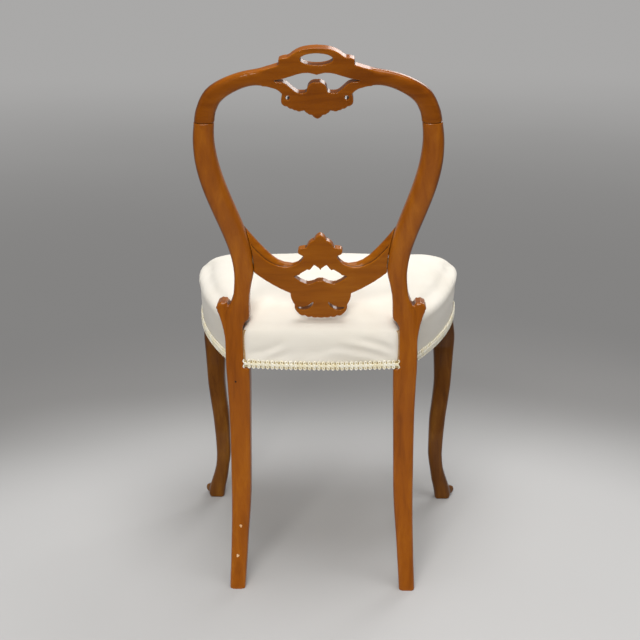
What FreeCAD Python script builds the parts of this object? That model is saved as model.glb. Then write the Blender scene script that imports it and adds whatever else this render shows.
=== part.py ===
"""A balloon back side chair, with a cabriole leg at each front corner and a sprung, over-stuffed seat.

All sizes are millimetres. +Z is up, the chair faces -Y, and +X is the sitter's left. The origin lies
on the floor, midway between the front of the seat and the back of the crest. Heights are taken from
the floor. Depths are taken from the back legs' rear faces at the seat, and are negative to the front.
"""

import FreeCAD
import Part
import math
import os

Vector = FreeCAD.Vector
UP = Vector(0, 0, 1)

SIZES = {
    # The back, seen from behind.
    "crest_top_height": 877.0,
    "crest_height": 112.0,
    "balloon_drop": 28.0,
    "balloon_centre": 170.5,
    "balloon_width": 32.5,
    "balloon_depth": 25.0,
    "joint_centre": 167.8,
    "joint_width": 30.8,
    "joint_depth": 24.0,
    "swell_width": 6.4,
    "waist_rise": 38.0,
    "waist_centre": 119.0,
    "waist_width": 31.2,
    "waist_depth": 29.0,
    "neck_rise": 57.0,
    "neck_centre": 124.2,
    "neck_width": 25.6,
    "neck_depth": 32.0,
    "lean_start_rise": 33.0,
    "lean_run": 200.0,
    "lean_angle": 13.5,
    # The back legs under the seat.
    "block_centre": 133.0,
    "block_width": 38.0,
    "block_depth": 37.0,
    "shin_centre": 131.2,
    "shin_width": 33.6,
    "shin_depth": 31.5,
    "foot_centre": 138.0,
    "foot_width": 25.0,
    "foot_depth": 26.0,
    "foot_splay": 42.0,
    "splay_gap": 37.0,
    "ear_centre": 154.5,
    "ear_rise": 36.5,
    "ear_radius": 10.5,
    "ear_inset": 0.6,
    "rebate_half_span": 123.5,
    "rebate_radius": 22.0,
    # The crest rail and the cross rail.
    "crest_thickness": 16.0,
    "crest_bar_inset": 0.5,
    "crest_eye_radius": 3.2,
    "hand_hold_half_width": 23.8,
    "hand_hold_half_height": 8.8,
    "hand_hold_drop": 16.7,
    "rail_lean_angle": 8.0,
    "cross_rail_recess": 6.6,
    "cross_rail_thickness": 15.0,
    "smile_bar_height": 19.0,
    "smile_bar_depth": 14.5,
    "smile_bar_offset": 2.0,
    "smile_bar_rear_round": 9.0,
    "smile_bar_front_round": 4.5,
    "cross_joint_span": 104.5,
    "cross_joint_rise": 17.0,
    "cross_dowel_run": 30.0,
    "cross_dowel_climb": 22.0,
    # The seat frame.
    "seat_top_height": 461.6,
    "seat_crown": 32.6,
    "rail_height": 62.0,
    "rail_thickness": 24.0,
    "back_rail_inset": 3.5,
    "side_rail_reach": 224.0,
    "side_rail_bow": 16.4,
    "front_rail_bow": 12.0,
    "front_block_width": 50.0,
    "front_block_reach": 394.5,
    "seat_corner_radius": 50.0,
    "corner_block_length": 66.0,
    "corner_block_height": 40.0,
    "corner_block_drop": 4.0,
    # The front legs.
    "knee_centre": 211.5,
    "knee_reach": 376.0,
    "knee_width": 40.0,
    "ankle_centre": 197.5,
    "ankle_reach": 339.0,
    "ankle_width": 26.0,
    "toe_centre": 212.5,
    "toe_reach": 340.0,
    "toe_width": 30.0,
    "toe_scroll_radius": 8.0,
    # Dowels, screws and tacks.
    "dowel_radius": 4.0,
    "dowel_length": 32.0,
    "dowel_spacing": 30.0,
    "hole_clearance": 0.1,
    "screw_radius": 2.2,
    "screw_head_radius": 4.2,
    "screw_head_height": 3.0,
    "screw_length": 30.0,
    "screw_grip": 17.0,
    "screw_bore_run": 40.0,
    "tack_radius": 0.8,
    "tack_head_radius": 3.2,
    "tack_head_height": 1.0,
    "tack_length": 8.0,
    # The upholstery.
    "seat_bulge": 2.5,
    "seat_roll": 17.9,
    "seat_back_slope": 22.0,
    "cover_thickness": 1.6,
    "soft_clearance": 0.3,
    "hessian_thickness": 1.2,
    "hessian_inset": 8.0,
    "webbing_width": 50.0,
    "webbing_thickness": 1.6,
    "webbing_gap": 0.2,
    "webbing_pitch_side": 68.0,
    "webbing_pitch_depth": 62.0,
    "webbing_middle_depth": 195.0,
    "spring_wire_radius": 1.7,
    "spring_end_radius": 34.0,
    "spring_waist_radius": 21.0,
    "spring_turns": 5.0,
    "gimp_height": 15.0,
    "gimp_thickness": 2.0,
}

# Heights that follow from the sizes above, as formulas of the sheet.
TIED = {
    "rail_bottom_height": "=seat_top_height - seat_crown - rail_height",
    "rail_top_height": "=rail_bottom_height + rail_height",
    "splay_height": "=rail_bottom_height - splay_gap",
    "ear_height": "=rail_top_height + ear_rise",
    "neck_height": "=rail_top_height + neck_rise",
    "waist_height": "=neck_height + waist_rise",
    "lean_start_height": "=rail_bottom_height + lean_start_rise",
    "lean_end_height": "=lean_start_height + lean_run",
    "joint_height": "=crest_top_height - crest_height",
    "balloon_height": "=joint_height - balloon_drop",
    "hand_hold_height": "=crest_top_height - hand_hold_drop",
}

doc = FreeCAD.newDocument("balloon_back_chair")
sheet = doc.addObject("Spreadsheet::Sheet", "Sizes")
for row, (alias, rule) in enumerate({**SIZES, **TIED}.items(), start=1):
    sheet.set(f"A{row}", alias)
    sheet.set(f"B{row}", str(rule))
    sheet.setAlias(f"B{row}", alias)
doc.recompute()


def size(alias):
    """A driving dimension, read back from the sheet."""
    return float(sheet.get(alias))


LEAN = math.radians(size("lean_angle"))
LEAN_RADIUS = size("lean_run") / math.sin(LEAN)
RAIL_BOTTOM = size("rail_bottom_height")
RAIL_TOP = size("rail_top_height")
NECK = size("neck_height")
WAIST = size("waist_height")
BALLOON = size("balloon_height")
JOINT = size("joint_height")
CREST_TOP = size("crest_top_height")
SEAT_TOP = size("seat_top_height")
CLEAR = size("soft_clearance")
SECTION_SPACING = 16.0


def rear_depth(height):
    """Depth of the back's rear face: sabre splay below, an arc above the seat, then a straight lean."""
    if height < size("splay_height"):
        return size("foot_splay") * (1 - height / size("splay_height")) ** 2
    rise = height - size("lean_start_height")
    if rise <= 0:
        return 0.0
    if height < size("lean_end_height"):
        return LEAN_RADIUS - math.sqrt(LEAN_RADIUS ** 2 - rise ** 2)
    return LEAN_RADIUS * (1 - math.cos(LEAN)) + (height - size("lean_end_height")) * math.tan(LEAN)


def lean_at(height):
    """Angle by which the back leans at a height."""
    rise = min(max(height - size("lean_start_height"), 0.0), size("lean_run"))
    return math.asin(rise / LEAN_RADIUS)


COVER_OFFSET = CLEAR + size("cover_thickness")
FRONT_REACH = size("front_block_reach") + size("front_rail_bow")
REAR = (FRONT_REACH + COVER_OFFSET + size("seat_bulge") - rear_depth(CREST_TOP)) / 2


def at(x, depth, height):
    """A point from its side distance, its depth from the back legs' rear face and its height."""
    return Vector(x, REAR + depth, height)


# Document objects.
made = []


def node(item, name):
    """Names one finished piece of the chair."""
    item.Label = name
    made.append(item)
    return item


def shaped(name, shape):
    """A free-form piece whose surfaces were built from the sheet's sizes."""
    item = doc.addObject("Part::Feature", name)
    item.Shape = shape
    return item


def mirrored(source, name):
    """The other hand of a piece, across the chair's middle plane."""
    item = doc.addObject("Part::Mirroring", name)
    item.Source = source
    item.Normal = Vector(1, 0, 0)
    item.Base = Vector(0, 0, 0)
    return item


def joined(name, items):
    """Separate like pieces held in one group."""
    group = doc.addObject("Part::Compound", name)
    group.Links = items
    return group


def bound_cylinder(name, radius, length, start, direction):
    """A round pin whose radius and length follow the sheet."""
    pin = doc.addObject("Part::Cylinder", name)
    pin.setExpression("Radius", radius)
    pin.setExpression("Height", length)
    pin.Placement = FreeCAD.Placement(start, FreeCAD.Rotation(UP, direction))
    return pin


def bound_box(name, sides, corner):
    """A box whose three sides follow the sheet."""
    block = doc.addObject("Part::Box", name)
    for side, rule in zip(("Length", "Width", "Height"), sides):
        block.setExpression(side, rule)
    block.Placement.Base = corner
    return block


def padded_sketch(name, edges, base_height, length_rule):
    """A board sawn to an outline in plan and raised to a height that follows the sheet."""
    body = doc.addObject("PartDesign::Body", name)
    sketch = body.newObject("Sketcher::SketchObject", name + "_outline")
    plane = [origin for origin in body.Origin.OriginFeatures if origin.Role == "XY_Plane"][0]
    sketch.AttachmentSupport = [(plane, "")]
    sketch.MapMode = "FlatFace"
    for edge in edges:
        sketch.addGeometry(edge, False)
    doc.recompute()
    pad = body.newObject("PartDesign::Pad", name + "_board")
    pad.Profile = sketch
    pad.setExpression("Length", length_rule)
    body.Placement.Base = Vector(0, 0, base_height)
    return body


# Geometry helpers.
def unit(vector):
    """A copy of a vector, one long."""
    return vector * (1.0 / vector.Length)


def bulged_edge(start, end, bulge, outward):
    """A line, or an arc that stands off its chord by the bulge, as a share of the chord."""
    if abs(bulge) < 1e-6:
        return Part.LineSegment(start, end)
    middle = (start + end) * 0.5 + outward * (bulge * (end - start).Length)
    return Part.Arc(start, middle, end)


def outline_wire(points, place, closed_by_mirror=True):
    """A closed wire from (x, height, bulge) points, run clockwise, with its other half mirrored."""
    rows = list(points)
    if closed_by_mirror:
        back = []
        for i in range(len(points) - 1, 0, -1):
            back.append((-points[i][0], points[i][1], points[i - 1][2]))
        rows = list(points[:-1]) + back
    edges = []
    for i, (x, z, bulge) in enumerate(rows):
        x_next, z_next, _ = rows[(i + 1) % len(rows)]
        start, end = place(x, z), place(x_next, z_next)
        along = unit(end - start)
        normal = unit((place(0, 1) - place(0, 0)).cross(place(1, 0) - place(0, 0)))
        outward = along.cross(normal)
        edges.append(bulged_edge(start, end, bulge, outward).toShape())
    return Part.Wire(edges)


def plank(points, place, through, closed_by_mirror=True):
    """A solid sawn to an outline, with its thickness given as a vector."""
    face = Part.Face(outline_wire(points, place, closed_by_mirror))
    return face.extrude(through)


def rounded_section(outer, inner, through, rear_radius, front_radius):
    """A closed section with four rounded corners, from its rear edge and its depth as a vector."""
    corners = [outer, inner, inner + through, outer + through]
    radii = [rear_radius, rear_radius, front_radius, front_radius]
    edges = []
    previous_end = None
    first_start = None
    for i, corner in enumerate(corners):
        back = unit(corners[i - 1] - corner) * radii[i]
        ahead = unit(corners[(i + 1) % 4] - corner) * radii[i]
        start, end = corner + back, corner + ahead
        centre = corner + back + ahead
        middle = centre + unit(corner - centre) * radii[i]
        if previous_end is not None:
            edges.append(Part.LineSegment(previous_end, start).toShape())
        else:
            first_start = start
        edges.append(Part.Arc(start, middle, end).toShape())
        previous_end = end
    edges.append(Part.LineSegment(previous_end, first_start).toShape())
    return Part.Wire(edges)


def eased(rows, spacing):
    """Rows whose first column rises, filled in by monotone cubics to the spacing."""
    gaps = [after[0] - before[0] for before, after in zip(rows, rows[1:])]
    slopes = []
    for column in range(len(rows[0])):
        rise = [(after[column] - before[column]) / gap for before, after, gap in zip(rows, rows[1:], gaps)]
        inner = [0.0 if a * b <= 0 else 2 * a * b / (a + b) for a, b in zip(rise, rise[1:])]
        slopes.append([rise[0]] + inner + [rise[-1]])
    filled = []
    for i, gap in enumerate(gaps):
        steps = max(1, math.ceil(gap / spacing))
        for step in range(steps):
            t = step / steps
            weights = (
                2 * t ** 3 - 3 * t ** 2 + 1,
                t ** 3 - 2 * t ** 2 + t,
                3 * t ** 2 - 2 * t ** 3,
                t ** 3 - t ** 2,
            )
            filled.append(tuple(
                weights[0] * rows[i][c] + weights[1] * gap * slopes[c][i]
                + weights[2] * rows[i + 1][c] + weights[3] * gap * slopes[c][i + 1]
                for c in range(len(rows[0]))
            ))
    return filled + [tuple(rows[-1])]


def fused(shapes):
    """One solid from several that overlap."""
    return shapes[0].multiFuse(shapes[1:]).removeSplitter()


def cylinder(radius, start, direction, length):
    """A plain round tool or pin."""
    return Part.makeCylinder(radius, length, start, direction)


# The back legs, each one piece from the foot to the crest joint.
def leg_rows():
    """Rows of height, centre, width, depth and corner radii up one back leg."""
    bottom, top = RAIL_BOTTOM, RAIL_TOP
    foot, shin, block = size("foot_centre"), size("shin_centre"), size("block_centre")
    rows = [
        (0.0, foot, size("foot_width"), size("foot_depth"), 4.5, 6.0),
        (0.2 * bottom, 0.5 * (foot + shin), size("foot_width") + 2.2, size("foot_depth") + 1.5, 5.0, 7.0),
        (0.45 * bottom, shin, size("shin_width") - 1.8, size("shin_depth") - 1.5, 5.5, 8.0),
        (0.72 * bottom, shin, size("shin_width"), size("shin_depth"), 5.5, 8.0),
        (0.92 * bottom, 0.5 * (shin + block), size("block_width") - 1.5, size("block_depth") - 2.0, 4.5, 5.0),
        (bottom + 8.0, block, size("block_width"), size("block_depth"), 4.0, 4.0),
        (top - 6.0, block, size("block_width"), size("block_depth"), 4.0, 4.0),
        (top + 28.0, block - 3.0, size("block_width") - 2.5, size("block_depth") - 2.0, 4.5, 6.0),
        (NECK, size("neck_centre"), size("neck_width"), size("neck_depth"), 5.0, 8.0),
        (0.5 * (NECK + WAIST), size("neck_centre") - 2.8,
         size("neck_width") + 1.4, size("neck_depth") - 1.5, 5.5, 9.0),
    ]
    steps = 9
    for step in range(steps + 1):
        share = step / steps
        turn = math.sin(0.5 * math.pi * share ** 0.9) ** 2
        height = WAIST + share * (BALLOON - WAIST)
        centre = size("waist_centre") + turn * (size("balloon_centre") - size("waist_centre"))
        width = size("waist_width") + share * (size("balloon_width") - size("waist_width"))
        width += size("swell_width") * math.sin(math.pi * share)
        depth = size("waist_depth") + share * (size("balloon_depth") - size("waist_depth"))
        rows.append((height, centre, width, depth, 6.0 + 3.0 * min(1.0, 2 * share), 10.0))
    rows.append((JOINT, size("joint_centre"), size("joint_width"), size("joint_depth"), 9.0, 10.0))
    return eased(rows, SECTION_SPACING)


def leg_section(height, centre, width, depth, rear_radius, front_radius):
    """One section of a back leg, square to its lean."""
    outer = at(centre + width / 2, rear_depth(height), height)
    inner = at(centre - width / 2, rear_depth(height), height)
    lean = lean_at(height)
    through = Vector(0, -math.cos(lean), math.sin(lean)) * depth
    return rounded_section(outer, inner, through, rear_radius, front_radius)


def ear():
    """The scroll on the outer side of a back leg, where it steps in to the neck."""
    radius, centre, height = size("ear_radius"), size("ear_centre"), size("ear_height")
    depth = size("block_depth") - 2 * size("ear_inset")
    root = size("block_centre")
    low = RAIL_TOP - 37.0
    face_depth = -size("ear_inset")

    def place(x, z):
        return at(x, face_depth, z)

    edge = [
        (centre + radius, height, 0.0),
        (root + size("block_width") / 2 - 1.0, low, 0.0),
        (root, low, 0.0),
        (root, height - 8.0, 0.0),
        (centre - 0.2 * radius, height + 0.6 * radius, 0.0),
    ]
    swept = [(x, z, -0.05 if i == 0 else 0.0) for i, (x, z, _) in enumerate(edge)]
    wedge = plank(swept, place, Vector(0, -depth, 0), closed_by_mirror=False)
    roll = cylinder(radius, at(centre, face_depth, height), Vector(0, -1, 0), depth)
    return fused([wedge, roll])


def rebate():
    """The cut in a back leg's inner side that the seat's covering fills."""
    low, high = RAIL_BOTTOM, RAIL_TOP
    face, radius = size("rebate_half_span"), size("rebate_radius")
    inside = size("block_centre") - size("block_width")
    depth = 2 * size("block_depth")

    def place(x, z):
        return at(x, depth, z)

    edge = [
        (inside, high + radius, 0.0),
        (face - radius, high + radius, 0.0),
        (face, high, 0.0),
        (face, low, 0.0),
        (inside, low, 0.0),
    ]
    prism = plank(edge, place, Vector(0, -2 * depth, 0), closed_by_mirror=False)
    round_off = cylinder(radius, at(face - radius, depth, high), Vector(0, -1, 0), 2 * depth)
    return fused([prism, round_off])


# The crest rail: two rounded bars that carry on the hoop, and a pierced plate between them.
CREST_LEAN = Vector(0, math.sin(LEAN), math.cos(LEAN))
CREST_THROUGH = Vector(0, -math.cos(LEAN), math.sin(LEAN))

# Half outlines from the top middle round to the bottom middle: x, height below the crest's top, bulge.
CREST_EDGE = [
    (0.0, 0.0, 0.04), (23.5, -3.3, 0.05), (38.5, -12.4, 0.0), (41.8, -14.1, 0.0), (47.1, -14.5, 0.06),
    (54.9, -17.7, 0.0), (54.4, -22.9, -0.14), (57.0, -25.9, 0.0), (80.0, -32.8, 0.0), (80.0, -56.2, -0.05),
    (66.3, -58.4, -0.1), (50.6, -68.0, 0.06), (52.4, -80.4, 0.16), (44.6, -86.2, 0.0), (43.5, -85.5, 0.18),
    (37.8, -89.9, 0.0), (36.8, -89.1, 0.12), (31.9, -92.4, 0.0), (31.0, -91.7, 0.14), (24.6, -93.6, 0.0),
    (23.7, -92.7, 0.14), (18.3, -91.2, 0.14), (15.8, -96.2, 0.0), (14.8, -95.6, 0.16), (8.7, -98.9, 0.0),
    (7.9, -98.2, 0.14), (0.0, -104.6, 0.0),
]
CREST_OPENING = [
    (0.0, -39.6, 0.03), (12.2, -36.5, 0.04), (28.0, -38.6, 0.0), (40.5, -42.6, -0.02), (66.5, -48.5, 0.0),
    (52.5, -50.3, -0.06), (43.9, -53.1, 0.0), (32.5, -63.4, 0.1), (21.7, -66.1, 0.06), (16.5, -65.3, 0.12),
    (14.6, -62.5, -0.24), (0.0, -50.3, 0.0),
]
CREST_EYE = (43.0, -73.0)

# Pairs of outer and inner points along the crest bar, beyond the joint, each below the crest's top.
CREST_BAR = [
    ((180.2, -97.0), (149.8, -98.0)),
    ((174.6, -82.0), (143.8, -85.0)),
    ((164.5, -65.5), (134.5, -75.5)),
    ((149.0, -53.5), (122.0, -67.5)),
    ((130.0, -44.3), (107.5, -60.8)),
    ((108.0, -37.2), (93.0, -57.0)),
    ((88.0, -33.6), (80.0, -56.4)),
    ((72.0, -31.0), (66.0, -47.0)),
    ((60.0, -29.5), (57.0, -38.5)),
]


def on_crest(x, drop):
    """A point on the crest's flat rear face, by its height below the crest's top."""
    height = CREST_TOP + drop
    return at(x, rear_depth(height), height)


def crest_bar():
    """One end of the crest rail: the hoop's rounded section, carried from the joint to the plate."""
    drop = JOINT - CREST_TOP
    half = size("joint_width") / 2
    points = [((size("joint_centre") + half, drop), (size("joint_centre") - half, drop))] + CREST_BAR
    rows = []
    run = 0.0
    for i, (outer, inner) in enumerate(points):
        if i:
            before = points[i - 1]
            run += 0.5 * (math.dist(outer, before[0]) + math.dist(inner, before[1]))
        rows.append((run,) + outer + inner)
    sections = []
    for along, outer_x, outer_z, inner_x, inner_z in eased(rows, SECTION_SPACING):
        share = along / run
        inset = CREST_THROUGH * size("crest_bar_inset") * share
        start, end = on_crest(outer_x, outer_z) + inset, on_crest(inner_x, inner_z) + inset
        through = CREST_THROUGH * size("joint_depth") * (1 - 0.2 * share)
        radius = min(10.0, 0.36 * (end - start).Length)
        rear_radius = radius * (0.9 - 0.4 * share)
        sections.append(rounded_section(start, end, through, rear_radius, radius))
    return Part.makeLoft(sections, True, True)


def crest_rail():
    """The whole crest rail, pierced for the hand hold, the two-lobed opening and the scroll eyes."""
    thickness = CREST_THROUGH * size("crest_thickness")
    plate = plank(CREST_EDGE, on_crest, thickness)
    bar = crest_bar()
    rail = fused([plate, bar, bar.mirror(Vector(0, 0, 0), Vector(1, 0, 0))])
    before, beyond = thickness * -1.0, thickness * 4.0
    opening = plank(CREST_OPENING, on_crest, beyond)
    opening.translate(before)
    centre = on_crest(0, size("hand_hold_height") - CREST_TOP)
    wide, tall = size("hand_hold_half_width"), size("hand_hold_half_height")
    oval = Part.Ellipse(centre + Vector(wide, 0, 0), centre + CREST_LEAN * tall, centre)
    hold = Part.Face(Part.Wire([oval.toShape()])).extrude(beyond)
    hold.translate(before)
    spots = [on_crest(side * CREST_EYE[0], CREST_EYE[1]) + before for side in (1, -1)]
    eyes = [cylinder(size("crest_eye_radius"), spot, beyond, beyond.Length) for spot in spots]
    return rail.cut([opening, hold] + eyes)


# The cross rail: a pierced plate set in from the legs' rear faces, with a rounded bar along its front.
RAIL_LEAN = math.radians(size("rail_lean_angle"))
RAIL_THROUGH = Vector(0, -math.cos(RAIL_LEAN), math.sin(RAIL_LEAN))

# Half outlines from the top middle round to the bottom middle: x, height from the waist, bulge.
CROSS_EDGE = [
    (0.0, 62.1, 0.1), (8.6, 54.9, 0.0), (9.5, 53.0, 0.12), (20.6, 42.8, 0.0), (21.6, 40.6, 0.05),
    (28.6, 39.9, 0.25), (34.4, 35.0, 0.2), (30.8, 29.6, 0.0), (26.8, 27.4, -0.1), (26.2, 24.6, -0.06),
    (34.5, 14.9, -0.065), (50.4, 9.3, -0.07), (70.2, 12.6, -0.06), (94.0, 30.1, -0.035), (115.2, 57.6, 0.0),
    (127.0, 73.0, 0.0), (125.0, 22.0, 0.0), (118.0, 14.0, 0.048),
    (47.2, -34.4, 0.09), (41.4, -52.9, -0.12), (41.5, -57.2, 0.1), (35.3, -68.3, 0.16), (26.6, -72.2, 0.0),
    (25.6, -71.1, 0.16), (16.4, -74.6, 0.0), (15.4, -73.5, 0.14), (6.3, -75.5, 0.0), (5.5, -74.6, 0.1),
    (0.0, -76.0, 0.0),
]
CROSS_OPENING = [
    (0.0, 4.4, 0.0), (3.2, 8.7, 0.0), (6.2, 10.3, 0.0), (9.6, 13.2, 0.0), (14.5, 6.5, 0.0), (17.4, 4.0, 0.0),
    (20.0, 5.6, 0.0), (26.4, 1.3, 0.0), (30.6, -1.0, 0.0), (33.2, -4.1, 0.0), (42.2, -6.2, 0.0),
    (35.0, -11.7, 0.05), (26.5, -16.7, 0.12), (16.4, -18.3, 0.04), (9.0, -16.0, -0.1), (0.0, -13.5, 0.0),
]
CROSS_SLIT = [(10.7, -46.4, -0.155), (35.8, -57.2, 0.1), (36.2, -60.0, 0.28)]

# Pairs of upper and lower points along the bar that fronts the cross rail.
SMILE_PATH = [
    (119.5, 76.0), (110.0, 64.0), (99.0, 50.5), (87.0, 37.0), (76.0, 26.0), (66.0, 18.8), (55.6, 14.6),
    (43.5, 13.4), (33.0, 17.0),
]


def on_cross(x, rise):
    """A point on the cross rail's flat rear face, by its height from the waist."""
    height = WAIST + rise
    depth = rear_depth(WAIST) - size("cross_rail_recess") + rise * math.tan(RAIL_LEAN)
    return at(x, depth, height)


def smile_bar():
    """The rounded bar that carries the hoop's moulding along one half of the cross rail."""
    rows = [(0.0,) + SMILE_PATH[0]]
    for before, after in zip(SMILE_PATH, SMILE_PATH[1:]):
        rows.append((rows[-1][0] + math.dist(before, after),) + after)
    path = eased(rows, SECTION_SPACING)
    sections = []
    for i, (along, x, rise) in enumerate(path):
        before, after = path[max(i - 1, 0)], path[min(i + 1, len(path) - 1)]
        run = math.dist(before[1:], after[1:])
        below = (-(after[2] - before[2]) / run, (after[1] - before[1]) / run)
        taper = 1.0 - 0.45 * (along / path[-1][0]) ** 4
        tall = size("smile_bar_height") * taper
        start = on_cross(x, rise)
        end = on_cross(x + below[0] * tall, rise + below[1] * tall)
        through = RAIL_THROUGH * size("smile_bar_depth") * taper
        shift = RAIL_THROUGH * size("smile_bar_offset")
        rear_round = size("smile_bar_rear_round") * taper
        front_round = size("smile_bar_front_round") * taper
        sections.append(rounded_section(start + shift, end + shift, through, rear_round, front_round))
    return Part.makeLoft(sections, True, True)


def cross_rail_blank():
    """The cross rail before its ends are scribed to the back legs."""
    thickness = RAIL_THROUGH * size("cross_rail_thickness")
    plate = plank(CROSS_EDGE, on_cross, thickness)
    bar = smile_bar()
    rail = fused([plate, bar, bar.mirror(Vector(0, 0, 0), Vector(1, 0, 0))])
    before, beyond = thickness * -1.0, thickness * 4.0
    opening = plank(CROSS_OPENING, on_cross, beyond)
    opening.translate(before)
    slit = plank(CROSS_SLIT, on_cross, beyond, closed_by_mirror=False)
    slit.translate(before)
    return rail.cut([opening, slit, slit.mirror(Vector(0, 0, 0), Vector(1, 0, 0))])


# The front legs: a block in the corner of the seat frame, a knee, an ankle and a scrolled toe.
def front_leg():
    """The left front leg, in one piece, its block shaped to the corner of the seat."""
    bottom, wide = RAIL_BOTTOM, size("front_block_width")
    block = (BLOCK_SIDE - wide / 2, size("front_block_reach") - wide / 2, wide)
    knee = (size("knee_centre"), size("knee_reach"), size("knee_width"))
    ankle = (size("ankle_centre"), size("ankle_reach"), size("ankle_width"))
    toe = (size("toe_centre"), size("toe_reach"), size("toe_width"))

    def between(first, second, share):
        return tuple(a + share * (b - a) for a, b in zip(first, second))

    rows = [
        (0.0, (toe[0] - 0.5, toe[1] - 1.0, toe[2] - 3.0)),
        (0.02, toe),
        (0.055, between(toe, ankle, 0.15)),
        (0.1, between(toe, ankle, 0.45)),
        (0.165, (ankle[0] + 3.0, ankle[1] - 2.0, ankle[2] - 1.5)),
        (0.24, ankle),
        (0.31, between(ankle, knee, 0.06)),
        (0.42, between(ankle, knee, 0.25)),
        (0.52, (ankle[0] + 8.5, between(ankle, knee, 0.42)[1], ankle[2] + 4.2)),
        (0.62, (ankle[0] + 12.5, between(ankle, knee, 0.62)[1], ankle[2] + 5.6)),
        (0.72, (knee[0] - 0.5, between(ankle, knee, 0.84)[1], knee[2] - 5.0)),
        (0.82, knee),
        (0.92, between(knee, block, 0.45)),
        (1.0, (block[0], block[1], wide - 2.0)),
    ]
    sections = []
    raised = [(share * bottom,) + place for share, place in rows]
    for height, x, reach, width in eased(raised, SECTION_SPACING):
        soft = 0.36 * width
        outer = at(x + width / 2, -reach - width / 2, height)
        inner = at(x - width / 2, -reach - width / 2, height)
        sections.append(rounded_section(outer, inner, Vector(0, width, 0), soft, soft * 0.8))
    leg = Part.makeLoft(sections, True, True)
    corner = at(BLOCK_SIDE - wide, -size("front_block_reach"), bottom)
    upright = Part.makeBox(wide, wide, RAIL_TOP - bottom, corner)
    upright = upright.common(outline_prism(0.0, bottom, RAIL_TOP))
    scroll = size("toe_scroll_radius")
    forward = toe[1] + toe[2] / 2 - 0.4 * scroll
    aside = toe[0] + toe[2] / 2 - 0.4 * scroll
    axis = unit(Vector(1, 1, 0))
    roll = cylinder(scroll, at(aside, -forward, scroll * 1.25) - axis * scroll, axis, 2 * scroll)
    return fused([leg, upright, roll])


# The seat's outline in plan: a straight back, bowed sides, round corners and a bowed front.
class Circle:
    """A circle in plan, as its centre and radius."""

    def __init__(self, x, y, radius):
        self.x = x
        self.y = y
        self.radius = radius

    def point(self, angle, offset, height):
        """The point at an angle, at an offset outside the circle."""
        reach = self.radius + offset
        return Vector(self.x + reach * math.cos(angle), self.y + reach * math.sin(angle), height)

    def across(self, y, offset=0.0):
        """How far out to +X the circle lies at one y."""
        return self.x + math.sqrt((self.radius + offset) ** 2 - (y - self.y) ** 2)

    def along(self, x, offset=0.0):
        """How far out to -Y the circle lies at one x."""
        return self.y - math.sqrt((self.radius + offset) ** 2 - (x - self.x) ** 2)

    def angle_to(self, other):
        """The direction from this circle's centre to another's."""
        return math.atan2(other.y - self.y, other.x - self.x)


def bowed(start, end, bow):
    """The circle whose arc from start to end stands off its chord by the bow, on the left of travel."""
    along = end - start
    left = unit(UP.cross(along))
    radius = (along.Length ** 2 / 4 + bow ** 2) / (2 * bow)
    centre = (start + end) * 0.5 - left * (radius - bow)
    return Circle(centre.x, centre.y, radius)


def nested(radius, first, second):
    """The circle of one radius that touches two larger ones from inside, on their -Y side."""
    run, rise = second.x - first.x, second.y - first.y
    gap = math.hypot(run, rise)
    reach, other_reach = first.radius - radius, second.radius - radius
    along = (gap ** 2 + reach ** 2 - other_reach ** 2) / (2 * gap)
    out = math.sqrt(reach ** 2 - along ** 2)
    spots = [
        (first.x + (run * along - side * rise * out) / gap, first.y + (rise * along + side * run * out) / gap)
        for side in (1, -1)
    ]
    x, y = min(spots, key=lambda spot: spot[1])
    return Circle(x, y, radius)


LEG_FRONT = -size("block_depth")
BLOCK_SIDE = size("side_rail_reach")
BLOCK_INNER = BLOCK_SIDE - size("front_block_width")
BLOCK_REAR = size("front_block_width") - size("front_block_reach")
RAIL_START = size("rebate_half_span") + size("rail_thickness")
SIDE = bowed(at(RAIL_START, LEG_FRONT, 0), at(BLOCK_SIDE, BLOCK_REAR, 0), size("side_rail_bow"))
FRONT = bowed(
    at(BLOCK_INNER, -size("front_block_reach"), 0),
    at(-BLOCK_INNER, -size("front_block_reach"), 0),
    size("front_rail_bow"),
)
CORNER = nested(size("seat_corner_radius"), SIDE, FRONT)
REAR_SHARE = 0.5
REAR_PULL = 1.3
OVERRUN = 5.0


def side_x(depth, inset=0.0):
    """How far out the side rail's outer face lies at one depth, less an inset."""
    return SIDE.across(REAR + depth) - inset


def seat_outline(offset, height, scale=1.0, pull=0.0):
    """The seat's outline at one height: offset from the rails, back pulled in, scaled about its middle."""
    middle = REAR - size("webbing_middle_depth")
    rear_angle = math.asin((REAR + REAR_SHARE * LEG_FRONT - REAR_PULL * pull - SIDE.y) / SIDE.radius)
    side_end, front_end = SIDE.angle_to(CORNER), FRONT.angle_to(CORNER)
    back_x = size("rebate_half_span") + OVERRUN + REAR_SHARE * offset
    half = [
        Vector(back_x, REAR - size("back_rail_inset") + offset - pull, height),
        SIDE.point(rear_angle, offset, height),
        SIDE.point(0.5 * (rear_angle + side_end), offset, height),
        SIDE.point(side_end, offset, height),
        CORNER.point(0.5 * (side_end + front_end), offset, height),
        FRONT.point(front_end, offset, height),
    ]
    front = Vector(0, middle + scale * (FRONT.along(0.0, offset) - middle), height)
    half = [Vector(scale * p.x, middle + scale * (p.y - middle), height) for p in half]
    other = [Vector(-p.x, p.y, height) for p in half]
    edges = [
        Part.LineSegment(other[0], half[0]),
        Part.LineSegment(half[0], half[1]),
        Part.Arc(half[1], half[2], half[3]),
        Part.Arc(half[3], half[4], half[5]),
        Part.Arc(half[5], front, other[5]),
        Part.Arc(other[5], other[4], other[3]),
        Part.Arc(other[3], other[2], other[1]),
        Part.LineSegment(other[1], other[0]),
    ]
    return Part.Wire([edge.toShape() for edge in edges])


def outline_prism(offset, low, high):
    """A block with upright sides on the seat's outline."""
    return Part.Face(seat_outline(offset, low)).extrude(UP * (high - low))


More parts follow.
